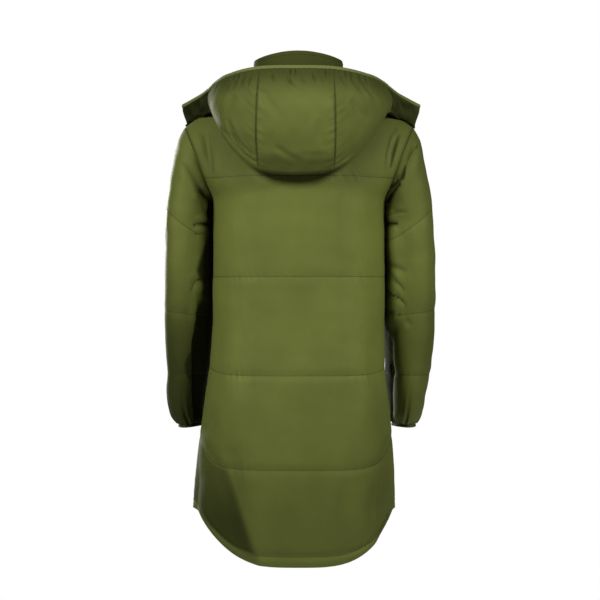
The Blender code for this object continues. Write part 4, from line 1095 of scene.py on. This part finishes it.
# Half of the hood, from the middle of its back (0) to the free end on the shoulder (1): the bottom
# of its fold, its bound edge, how far the outer side bellies out, the fold's radius, and how
# steeply the side that lies on the coat comes down to the fold.
HOOD_COLUMNS = table(
    ("across", "fold_x", "fold_y", "fold_z", "edge_x", "edge_y", "edge_z", "belly", "radius", "drop"),
    [
        (0.000, 0.0000, 0.152, -0.190, 0.0000, 0.170, 0.010, 0.028, 0.0130, 0.45),
        (0.170, 0.0360, 0.152, -0.188, 0.0360, 0.169, 0.010, 0.028, 0.0130, 0.45),
        (0.333, 0.0705, 0.149, -0.181, 0.0705, 0.164, 0.009, 0.027, 0.0130, 0.45),
        (0.500, 0.1070, 0.139, -0.158, 0.1050, 0.150, 0.005, 0.023, 0.0120, 0.42),
        (0.650, 0.1380, 0.122, -0.121, 0.1310, 0.130, 0.000, 0.018, 0.0100, 0.36),
        (0.780, 0.1590, 0.096, -0.083, 0.1520, 0.098, -0.004, 0.012, 0.0080, 0.28),
        (0.870, 0.1720, 0.058, -0.062, 0.1710, 0.060, -0.012, 0.007, 0.0060, 0.20),
        (0.940, 0.1930, 0.018, -0.075, 0.1970, 0.018, -0.029, 0.003, 0.0050, 0.14),
        (1.000, 0.2230, -0.014, -0.090, 0.2370, -0.014, -0.048, 0.000, 0.0040, 0.10),
    ],
)
HOOD_SHIFT = 0.006          # how far it hangs to the left of the middle
HOOD_WALL = 0.0036
HOOD_PUFF = 0.003
HOOD_REST = 0.0060          # how far its wall's middle lies off the coat
WING_REST = (0.0026, 0.0024)  # the same at the free ends, for the cage and for the fine grid
HOOD_CAGE_COLUMNS = 31
HOOD_FINE = 7               # columns and rows of the fine grid to one of the cage
HOOD_SEAM = 5               # cage columns from the middle to each seam of the centre panel
HOOD_REACH = (0.75, 3.25)   # where it is sewn on, in quarters of the neckline from the zip
HOOD_BOTTOM = 8             # the cage row at the bottom of its fold, past which it faces out
HOOD_JOIN_SHARES = (4, 2, 1, 0.5, 0.2)  # how much its first rows still face as its seam does
EDGE_LENGTH, EDGE_DEPTH = 0.0125, 0.0042  # the gathers at its edge, and those of its free ends
WING_LENGTH, WING_DEPTH = 0.0105, 0.0052
HOOD_DRIFTS = ((0.0011, 0.075), (0.0004, 0.03))
HOOD_PUCKERS = (0.0021, 0.015, 0.008)  # height, length and reach of those beside its seams
HOOD_SEAM_REACH = 0.0045
WING_START = (0.84, 0.06)   # across: where its free ends begin, and how soon they are whole
WING_DIP = (0.885, 0.014, 0.0050)  # the pinch there: where across, its width and its depth
SEAM_PAINTED_SHADE, SEAM_SHADE_REACH = 0.62, 0.0026  # the share of colour that painted shade takes beside its seams
EDGE_PAINTED_SHADE, EDGE_SHADE_REACH = 0.64, 0.046   # and towards its bound edge
BOTTOM_PAINTED_SHADE = 0.42

# Creases on the side that faces out: x and z at both ends, width and depth.
HOOD_CREASES = (
    (0.052, 0.000, 0.042, -0.023, 0.0022, 0.0037),
    (0.025, -0.001, 0.004, -0.034, 0.0028, 0.0050),
    (-0.002, -0.003, -0.019, -0.030, 0.0026, 0.0031),
    (-0.025, 0.001, -0.036, -0.022, 0.0022, 0.0037),
    (-0.044, -0.003, -0.052, -0.030, 0.0024, 0.0025),
    (0.101, -0.003, 0.111, -0.026, 0.0024, 0.0037),
    (0.086, -0.001, 0.098, -0.028, 0.0024, 0.0040),
    (0.117, -0.011, 0.126, -0.030, 0.0024, 0.0028),
    (-0.078, -0.003, -0.101, -0.034, 0.0028, 0.0034),
    (-0.098, -0.007, -0.128, -0.041, 0.0028, 0.0031),
    (-0.121, -0.015, -0.144, -0.045, 0.0028, 0.0031),
    (0.134, -0.083, 0.090, -0.160, 0.0032, 0.0030),
    (0.146, -0.098, 0.071, -0.176, 0.0026, 0.0048),
    (0.128, -0.110, 0.076, -0.160, 0.0024, 0.0036),
    (0.046, -0.137, -0.002, -0.164, 0.0050, 0.0022),
    (-0.002, -0.152, -0.066, -0.150, 0.0050, 0.0014),
    (-0.104, -0.157, -0.072, -0.188, 0.0022, 0.0052),
    (0.071, -0.030, 0.029, -0.088, 0.0080, 0.0028),
    (-0.036, -0.088, -0.048, -0.145, 0.0080, 0.0022),
    (-0.098, -0.049, -0.132, -0.088, 0.0070, 0.0025),
    (0.120, -0.040, 0.140, -0.080, 0.0070, 0.0025),
)


def bezier(a, b, c, d, steps):
    """Whole arrays of points along cubic Bezier curves with the control points a, b, c and d."""
    t = np.linspace(0, 1, steps + 1)[:, None, None]
    return (1 - t) ** 3 * a + 3 * (1 - t) ** 2 * t * b + 3 * (1 - t) * t**2 * c + t**3 * d


def lifted_off(grid, skip, points, facing, rest):
    """The grid with its rows after `skip` raised to at least `rest` from the plane of the nearest of
    the coat's points, along that point's facing."""
    grid = grid.copy()
    for row in range(skip, len(grid)):
        gaps = np.linalg.norm(grid[row][:, None] - points[None], axis=-1)
        near = gaps.argmin(axis=1)
        height = np.sum((grid[row] - points[near]) * facing[near], axis=-1)
        grid[row] += facing[near] * np.maximum(rest - height, 0)[:, None]
    return grid


def hood_cage(collar_outside):
    """The hood's wall on a coarse grid. Each column leaves the collar at a third of its height,
    comes down over the coat in a Bezier curve, turns up round a half circle and rises in another
    Bezier curve to the bound edge. Returns it and the collar's upward direction."""
    place = np.linspace(*HOOD_REACH, HOOD_CAGE_COLUMNS) * NECK_COLUMNS
    lower = smooth_between(collar_outside[5], place)
    upper = smooth_between(collar_outside[10], place)
    stand = unit(upper - lower)
    away = unit(np.cross(stand, np.gradient(lower, axis=0)))
    away *= np.sign(np.sum(away * (lower - lower.mean(axis=0)), axis=1))[:, None]
    neck = (lower + upper) / 2 + away * (SEAM_GAP + 0.0001)
    signed = np.linspace(1, -1, HOOD_CAGE_COLUMNS)
    out_to = np.abs(signed)
    side = np.where(signed >= 0, 1.0, -1.0)
    read = {name: read_table(HOOD_COLUMNS, "across", name, out_to) for name in HOOD_COLUMNS}
    shift = HOOD_SHIFT * (1 - 1.7 * out_to**2)
    fold = np.stack([side * read["fold_x"] + shift, read["fold_y"], read["fold_z"]], axis=-1)
    edge = np.stack([side * read["edge_x"] + shift, read["edge_y"], read["edge_z"]], axis=-1)
    up = np.array([0.0, 0.0, 1.0])
    out = unit((fold - neck) * np.array([1.0, 1.0, 0.0]))
    radius, drop, belly = (read[name][:, None] for name in ("radius", "drop", "belly"))
    centre = fold + up * radius
    near, far = centre - out * radius, centre + out * radius
    length = np.linalg.norm(near - neck, axis=-1, keepdims=True)
    height = np.linalg.norm(edge - far, axis=-1, keepdims=True)
    lying = bezier(neck, neck + away * length * 0.33, near + up * length * drop, near, 6)
    swing = np.linspace(0, np.pi, 4)[1:-1, None, None]
    bottom = centre - radius * (np.cos(swing) * out + np.sin(swing) * up)
    rising = bezier(far, far + up * height * 0.3 + out * belly,
                    edge - up * height * 0.3 + out * belly, edge, 6)
    return np.concatenate([lying, bottom, rising]), stand


def gathers(along, length, seed):
    """Rounded tops between pinched valleys, about `length` apart and uneven: the absolute value of a
    sine with a wandering phase, to the power 0.7."""
    return np.abs(np.sin(np.pi * along / length + 1.4 * waves(along, 6 * length, seed))) ** 0.7 - 0.6


yoke_rows = slice(int(np.searchsorted(levels, 4.6)), None, 2)
near_hood = [("back", False, yoke_rows), ("front_left", False, yoke_rows), ("front_right", False, yoke_rows),
             ("sleeve_left", True, slice(0, 60, 2)), ("sleeve_right", True, slice(0, 60, 2))]
coat_points = np.concatenate([outsides[name][rows, ::2].reshape(-1, 3) for name, _, rows in near_hood])
coat_facing = np.concatenate([normals_of(outsides[name], closed)[rows, ::2].reshape(-1, 3)
                              for name, closed, rows in near_hood])

cage, stand = hood_cage(outsides["collar"])
cage_rest = np.where(np.abs(np.linspace(1, -1, HOOD_CAGE_COLUMNS)) > 0.85, WING_REST[0], HOOD_REST)
cage = lifted_off(cage, 2, coat_points, coat_facing, cage_rest)
fine_rows = np.linspace(0, len(cage) - 1, (len(cage) - 1) * (HOOD_FINE + 2) + 1)
fine_columns = np.linspace(0, HOOD_CAGE_COLUMNS - 1, (HOOD_CAGE_COLUMNS - 1) * HOOD_FINE + 1)
hood_grid = smooth_between(smooth_between(cage, fine_rows).swapaxes(0, 1), fine_columns).swapaxes(0, 1)
out_to = np.abs(np.linspace(1, -1, hood_grid.shape[1]))
fine_rest = np.interp(out_to, (0.83, 0.90), (HOOD_REST - 0.001, WING_REST[1]))
hood_grid = lifted_off(hood_grid, 2 * (HOOD_FINE + 2), coat_points, coat_facing, fine_rest)
hood_middle = hood_grid.shape[1] // 2
hood_facing = normals_of(hood_grid)
hood_facing *= np.sign(hood_facing[-9, hood_middle, 1])
hood_facing[0] = -smooth_between(stand, fine_columns)
hood_facing[1:6] = unit(hood_facing[1:6] + hood_facing[0] * np.array(HOOD_JOIN_SHARES)[:, None, None])
out_to = out_to[None, :]
hood_x, hood_z = hood_grid[..., 0], hood_grid[..., 2]
hood_down = along_columns(hood_grid)
from_edge = hood_down[-1:] - hood_down
hood_along = np.broadcast_to(along_rows(hood_grid)[-1:], hood_down.shape)
rising_share = np.clip((fine_rows - HOOD_BOTTOM) / (len(cage) - 1 - HOOD_BOTTOM), 0, 1)[:, None]
faces_out = ease(fine_rows - HOOD_BOTTOM)[:, None]
wing = ease((out_to - WING_START[0]) / WING_START[1])
wing_gathers = gathers(hood_along + 0.25 * from_edge, WING_LENGTH, 73)
fold_length = 0.016 + 0.009 * waves(hood_along, 0.05, 71)
edge_gathers = np.exp(-((from_edge / np.maximum(fold_length, 0.006)) ** 2))
edge_depth = EDGE_DEPTH * (1 + 0.35 * waves(hood_along, 0.045, 70))
hood_off = HOOD_PUFF * np.sin(np.pi * rising_share) ** 0.6
hood_off = hood_off + (1 - wing) * edge_gathers * edge_depth * gathers(hood_along, EDGE_LENGTH, 72)
hood_off += wing * WING_DEPTH * wing_gathers * ease(rising_share / 0.15)
hood_off += faces_out * creases(HOOD_CREASES, hood_x, hood_z) * (1 - wing)
hood_off += faces_out * (1 - wing) * unevenness(hood_grid, (74, 75), HOOD_DRIFTS)
hood_off *= 1 - 0.9 * np.exp(-from_edge / 0.0015)
dip, width, depth = WING_DIP
hood_off -= depth * np.exp(-(((out_to - dip) / width) ** 2)) * faces_out * ease(rising_share / 0.2)

# Painted shade on the hood: on the wings light finds only the tops of the gathers; the edge, the sides and
# the bottom are painted darker, and the rest a little.
tops = np.clip(wing_gathers + 0.1, 0, 1)
shade = ease((out_to - np.where(hood_x > 0, 0.852, 0.862)) / 0.02)
shade = shade * np.where(hood_x > 0, 0.94 - 0.14 * tops, 0.84 - 0.26 * tops)
at_edge = EDGE_PAINTED_SHADE * np.exp(-((from_edge / EDGE_SHADE_REACH) ** 2)) * faces_out
at_bottom = BOTTOM_PAINTED_SHADE * ease((-0.140 - hood_z) / 0.024) * ease((0.44 - out_to) / 0.16)
at_sides = 0.08 + 0.14 * ease((out_to - 0.32) / 0.04)
shade = np.maximum(np.maximum(shade, at_edge), np.maximum(at_bottom, at_sides))

seam_columns = (hood_middle - HOOD_SEAM * HOOD_FINE, hood_middle + HOOD_SEAM * HOOD_FINE)
# Each panel's first and last column, and its flat width, length and area.
hood_panels = {"hood_side_left": (0, seam_columns[0], 0.24, 0.29, 0.057),
               "hood_centre": (*seam_columns, 0.15, 0.46, 0.068),
               "hood_side_right": (seam_columns[1], hood_grid.shape[1] - 1, 0.24, 0.29, 0.057)}
for name, (start, end, width, length, area) in hood_panels.items():
    columns = slice(start, end + 1)
    part = hood_grid[:, columns].copy()
    facing = hood_facing[:, columns]
    first, last = to_sides(part, 4)
    held = 1 - np.exp(-np.minimum(first, last) / HOOD_SEAM_REACH)
    pucker, spacing, reach = HOOD_PUCKERS
    beside = np.exp(-first / reach) + np.exp(-last / reach)
    off = hood_off[:, columns] * held
    off = off + faces_out * held * beside * pucker * waves(hood_down[:, columns], spacing, 76 + start)
    off = np.maximum(off, 0.0006 - HOOD_WALL)
    # Painted shade in the grooves beside the seams.
    to_seam = np.minimum(*(distance_to(part, hood_grid[::4, column]) for column in seam_columns))
    seam_shade = SEAM_PAINTED_SHADE * np.exp(-((to_seam / SEAM_SHADE_REACH) ** 2)) * faces_out
    part[:, 0] += SEAM_GAP / 2 * unit(part[:, 1] - part[:, 0])
    part[:, -1] += SEAM_GAP / 2 * unit(part[:, -2] - part[:, -1])
    panel = cloth_wall(name + "_panel", part - facing * HOOD_WALL / 2,
                       part + facing * (HOOD_WALL / 2 + off)[..., None], nylon,
                       painted_shading=np.maximum(shade[:, columns], seam_shade))
    ride_and_replace(panel, name)

# ---------------------------------------------------------------- the bindings
# Narrow elastic tape folded over the hood's edge and the sleeve ends, of nearly the shell's
# colour but duller, with the cloth gathered under it. The cuffs take painted shade, as they lie in the coat's
# shade.

BINDING_GAP = 0.0005
BINDING_HEIGHT = {"hood": 0.0078, "cuff": 0.0056}
BINDING_HALF_THICK = 0.0028
BINDING_CORNERS = 16
CUFF_PUCKERS = ((31, 0.3), (43, 1.9), (22, 4.1))  # folds round the cuff and their phase
# The share of colour that painted shade takes from each cuff, by turns round the arm in degrees.
CUFF_TURNS = (95, 125, 200, 240)
CUFF_PAINTED_SHADE = {1: (0.60, 0.90, 0.90, 0.60), -1: (0.45, 0.55, 0.60, 0.45)}

binding_cloth = cloth_look("olive_binding", (0.132, 0.150, 0.044), 0.62, 0.2, 1400.0, 0.0004)


def tube_piece(name, rings, look, closed):
    """A tube through rings of points given as (places, corners, 3). An open one ends in two poles
    at the middles of its end rings."""
    if not closed:
        first, last = (np.broadcast_to(end.mean(axis=1, keepdims=True), end.shape)
                       for end in (rings[:1], rings[-1:]))
        rings = np.concatenate([first, rings, last])
    places, corners = rings.shape[:2]
    quads = grid_faces(places + closed, corners, True) % (places * corners)
    points = rings.reshape(-1, 3)
    mesh = new_mesh(name, points, turned_out(points, quads))
    if not closed:
        work = bmesh.new()
        work.from_mesh(mesh)
        bmesh.ops.remove_doubles(work, verts=work.verts, dist=1e-7)
        work.to_mesh(mesh)
        work.free()
    mesh.shade_smooth()
    mesh.materials.append(look)
    return placed(name, mesh)


def binding_rings(edge, ahead, facing, pucker, high):
    """Rings round a binding: from each edge point an oval, `high` high along `ahead` and
    twice BINDING_HALF_THICK through along `facing`, which the puckers make thicker or thinner."""
    turn = 2 * np.pi * np.arange(BINDING_CORNERS) / BINDING_CORNERS
    up = BINDING_GAP + high * (0.5 - 0.5 * np.cos(turn) * np.abs(np.cos(turn)) ** -0.35)
    out = BINDING_HALF_THICK * np.sign(np.sin(turn)) * np.abs(np.sin(turn)) ** 0.6
    thick = 1 + pucker[:, None, None]
    return edge[:, None] + ahead[:, None] * up[None, :, None] + facing[:, None] * out[None, :, None] * thick


puckers = 0.16 * waves(hood_along[-1], 0.009, 81)
rings = binding_rings(hood_grid[-1], unit(hood_grid[-1] - hood_grid[-4]), hood_facing[-1], puckers,
                      BINDING_HEIGHT["hood"])
rings = smooth_between(rings, np.linspace(0, len(rings) - 1, 3 * len(rings)))
hood_binding = tube_piece("hood_edge_binding", rings, binding_cloth, False)
ride_and_replace(hood_binding, "hood_binding")

for side, name in ((1, "left"), (-1, "right")):
    inside, outside, facing = cuff_edges[side]
    cuff = (inside[-1] + outside[-1]) / 2
    down = np.broadcast_to([0.0, 0.0, -1.0], cuff.shape)
    puckers = 0.22 * sum(np.sin(n * np.radians(sleeve_degrees) + p) for n, p in CUFF_PUCKERS) / 2
    rings = binding_rings(cuff, down, facing[-1], puckers, BINDING_HEIGHT["cuff"])
    cuff_binding = tube_piece("cuff_edge_binding_" + name, rings, binding_cloth, True)
    # Painted shade round the cuff.
    painted_shade = np.interp(sleeve_degrees, CUFF_TURNS, CUFF_PAINTED_SHADE[side])
    set_painted_shading(cuff_binding.data, np.repeat(painted_shade, BINDING_CORNERS))
    ride_and_replace(cuff_binding, "cuff_binding_" + name)

# ---------------------------------------------------------------- the zip
# A moulded zip up the whole front and through the collar: two woven tapes, a row of small teeth
# on each, and a metal slider that stays at the collar's top. Its pull swings from a bridge.

ZIP_TAPE_THICK = 0.0014
ZIP_TAPE_DIP_X = 0.0042     # where the tape is a tenth thinner, between its teeth and its seam
TOOTH_PITCH = 0.0030
TOOTH_HALF = (0.0016, 0.0008, 0.0010)
TOOTH_X = 0.0007            # the middle of each row, so that the two rows mesh
TOOTH_UP = 0.0004

tape_cloth = cloth_look("zip_tape", (0.040, 0.048, 0.018), 0.8, 0.1, 1600.0, 0.0002)


def metal_look(name, color, roughness, metallic=1.0):
    """Brushed metal, or smooth plastic: streaks along z change its roughness, and rubbed spots are
    paler. Both patterns use Object coordinates."""
    look = bpy.data.materials.new(name)
    look.use_nodes = True
    tree = look.node_tree
    place = add_node(tree, "TexCoord", {}).outputs["Object"]
    streak = add_node(tree, "Mapping", {"Vector": place, "Scale": (1, 1, 0.1)}).outputs["Vector"]
    grain = add_node(tree, "TexNoise", {"Vector": streak, "Scale": 900.0}).outputs["Fac"]
    gloss = add_node(tree, "MapRange", {"Value": grain, "To Min": roughness - 0.08,
                                        "To Max": roughness + 0.08})
    worn = add_node(tree, "TexNoise", {"Vector": place, "Scale": 160.0}).outputs["Fac"]
    ramp = add_node(tree, "ValToRGB", {"Fac": worn})
    ramp.color_ramp.elements[0].color = (*color, 1)
    ramp.color_ramp.elements[1].position = 0.8
    ramp.color_ramp.elements[1].color = (*[min(1.0, 2.2 * c) for c in color], 1)
    shader = tree.nodes["Principled BSDF"].inputs
    shader["Metallic"].default_value = metallic
    tree.links.new(gloss.outputs["Result"], shader["Roughness"])
    tree.links.new(ramp.outputs["Color"], shader["Base Color"])
    return look


zip_metal = metal_look("zip_metal", (0.12, 0.12, 0.10), 0.36)
tooth_plastic = metal_look("zip_teeth", (0.030, 0.034, 0.016), 0.45, metallic=0.0)


def repeated(name, shape, quads, places, ways, look):
    """One mesh of many copies of a small closed shape: each is turned by its three directions and
    moved to its place."""
    points = places[:, None] + np.einsum("pk,nkc->npc", shape, ways)
    all_quads = quads[None] + (np.arange(len(places)) * len(shape))[:, None, None]
    mesh = new_mesh(name, points.reshape(-1, 3), all_quads.reshape(-1, 4))
    mesh.set_sharp_from_angle(angle=math.radians(45))
    mesh.materials.append(look)
    made = placed(name, mesh)
    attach(made, "garment")
    return made


def spaced(line, facing, step, start=0.5):
    """Places `step` apart along a line of points, and at each the directions sideways, out of the
    cloth and along the line."""
    lengths = np.concatenate([[0], np.cumsum(np.linalg.norm(np.diff(line, axis=0), axis=-1))])
    at = np.interp(np.arange(start * step, lengths[-1], step), lengths, np.arange(len(line)))
    place = smooth_between(line, at)
    ahead = unit(smooth_between(np.gradient(line, axis=0), at))
    out = smooth_between(facing, at)
    out = unit(out - ahead * np.sum(out * ahead, axis=-1, keepdims=True))
    return place, np.stack([np.cross(out, ahead), out, ahead], axis=1)


def small_block(half, waist):
    """A block of three square rings along its length, whose middle ring is `waist` times as wide."""
    ring = np.array([(-1, -1), (1, -1), (1, 1), (-1, 1)], dtype=float)
    points = np.concatenate([np.column_stack([ring * scale, np.full(4, up)])
                             for up, scale in ((-1, 1), (0, waist), (1, 1))]) * half
    quads = np.concatenate([grid_faces(3, 4, True), [[3, 2, 1, 0]], [[8, 9, 10, 11]]])
    return points, quads


tooth, tooth_quads = small_block(np.array(TOOTH_HALF), 0.8)
for side, name in ((1, "left"), (-1, "right")):
    front = "front_" + name
    column = 0 if side == 1 else -1
    line = np.concatenate([body_grids[front][::2, 0], body_grids["collar"][1:, column]])
    facing = np.concatenate([body_facing[front][::2, 0], body_facing["collar"][1:, column]])
    start = (WALL_AT_SEAM - ZIP_TAPE_THICK) / 2
    near, far, top = SEAM_GAP / 2, ZIP_HALF_WIDTH - SEAM_GAP / 2, start + ZIP_TAPE_THICK
    corners = []
    for x, out in ((near, start), (near, top), (ZIP_TAPE_DIP_X, start + ZIP_TAPE_THICK * 0.9),
                   (far, top), (far, start)):
        corner = line + facing * out
        corner[:, 0] = side * x
        corners.append(corner)
    tape = tube_piece("zip_tape_" + name + "_strip", np.stack(corners, axis=1), tape_cloth, False)
    ride_and_replace(tape, "zip_tape_" + name)
    teeth_line = line + facing * (top + TOOTH_UP)
    teeth_line[:, 0] = side * TOOTH_X
    places, ways = spaced(teeth_line[2:-2], facing[2:-2], TOOTH_PITCH, 0.5 if side == 1 else 1.0)
    teeth = repeated("zip_teeth_" + name, tooth, tooth_quads, places, ways, tooth_plastic)

for node in ("zip_slider", "zip_pull"):
    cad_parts[node].data.materials.clear()
    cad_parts[node].data.materials.append(zip_metal)

# ---------------------------------------------------------------- the stitching
# Lock stitches in thread that matches the shell: along every line of quilting, the hem, the hood's
# seams, the collar's top edge and both sides of the zip.

STITCH_HALF = (0.00035, 0.00026, 0.0012)
STITCH_STEP = 0.0036
BESIDE_ZIP = 0.006          # from the front's edge to its line of stitches, seen from before

stitch, stitch_quads = small_block(np.array(STITCH_HALF), 1.45)


def stitching(name, lines):
    """One piece of all the stitches along some lines, each given with its facing."""
    placings = [spaced(line + facing * STITCH_HALF[1], facing, STITCH_STEP) for line, facing in lines]
    places, ways = (np.concatenate(found) for found in zip(*placings))
    made = repeated(name, stitch, stitch_quads, places, ways, thread_look)


quilt_rows = [int(np.abs(levels - level).argmin()) for level in QUILT_LINES["level"]]
stitching("stitches_back", [(outsides["back"][row], body_facing["back"][row]) for row in quilt_rows])
for name in ("front_left", "front_right"):
    lines = [(outsides[name][row], body_facing[name][row]) for row in quilt_rows]
    from_zip = np.abs(outsides[name][120, :, 0] - outsides[name][120, 0, 0])
    column = int(from_zip.searchsorted(BESIDE_ZIP))
    lines.append((outsides[name][:, column], body_facing[name][:, column]))
    stitching("stitches_" + name, lines)
rows = [int(np.abs(sleeve_stations - station).argmin()) for station in SLEEVE_QUILTS]
for side, name in ((1, "left"), (-1, "right")):
    loops = [[np.append(grid[row], grid[row, :1], axis=0) for grid in cuff_edges[side][1:]] for row in rows]
    stitching("stitches_sleeve_" + name, loops)
outward = slice(9 * (HOOD_FINE + 2), hood_grid.shape[0] - 12)
seam_tops = hood_grid + hood_facing * (HOOD_WALL / 2 + 0.0002)
stitching("stitches_hood", [(seam_tops[outward, column], hood_facing[outward, column])
                            for column in seam_columns])
collar_row = COLLAR_ROWS - 4
stitching("stitches_collar", [(outsides["collar"][collar_row], body_facing["collar"][collar_row])])
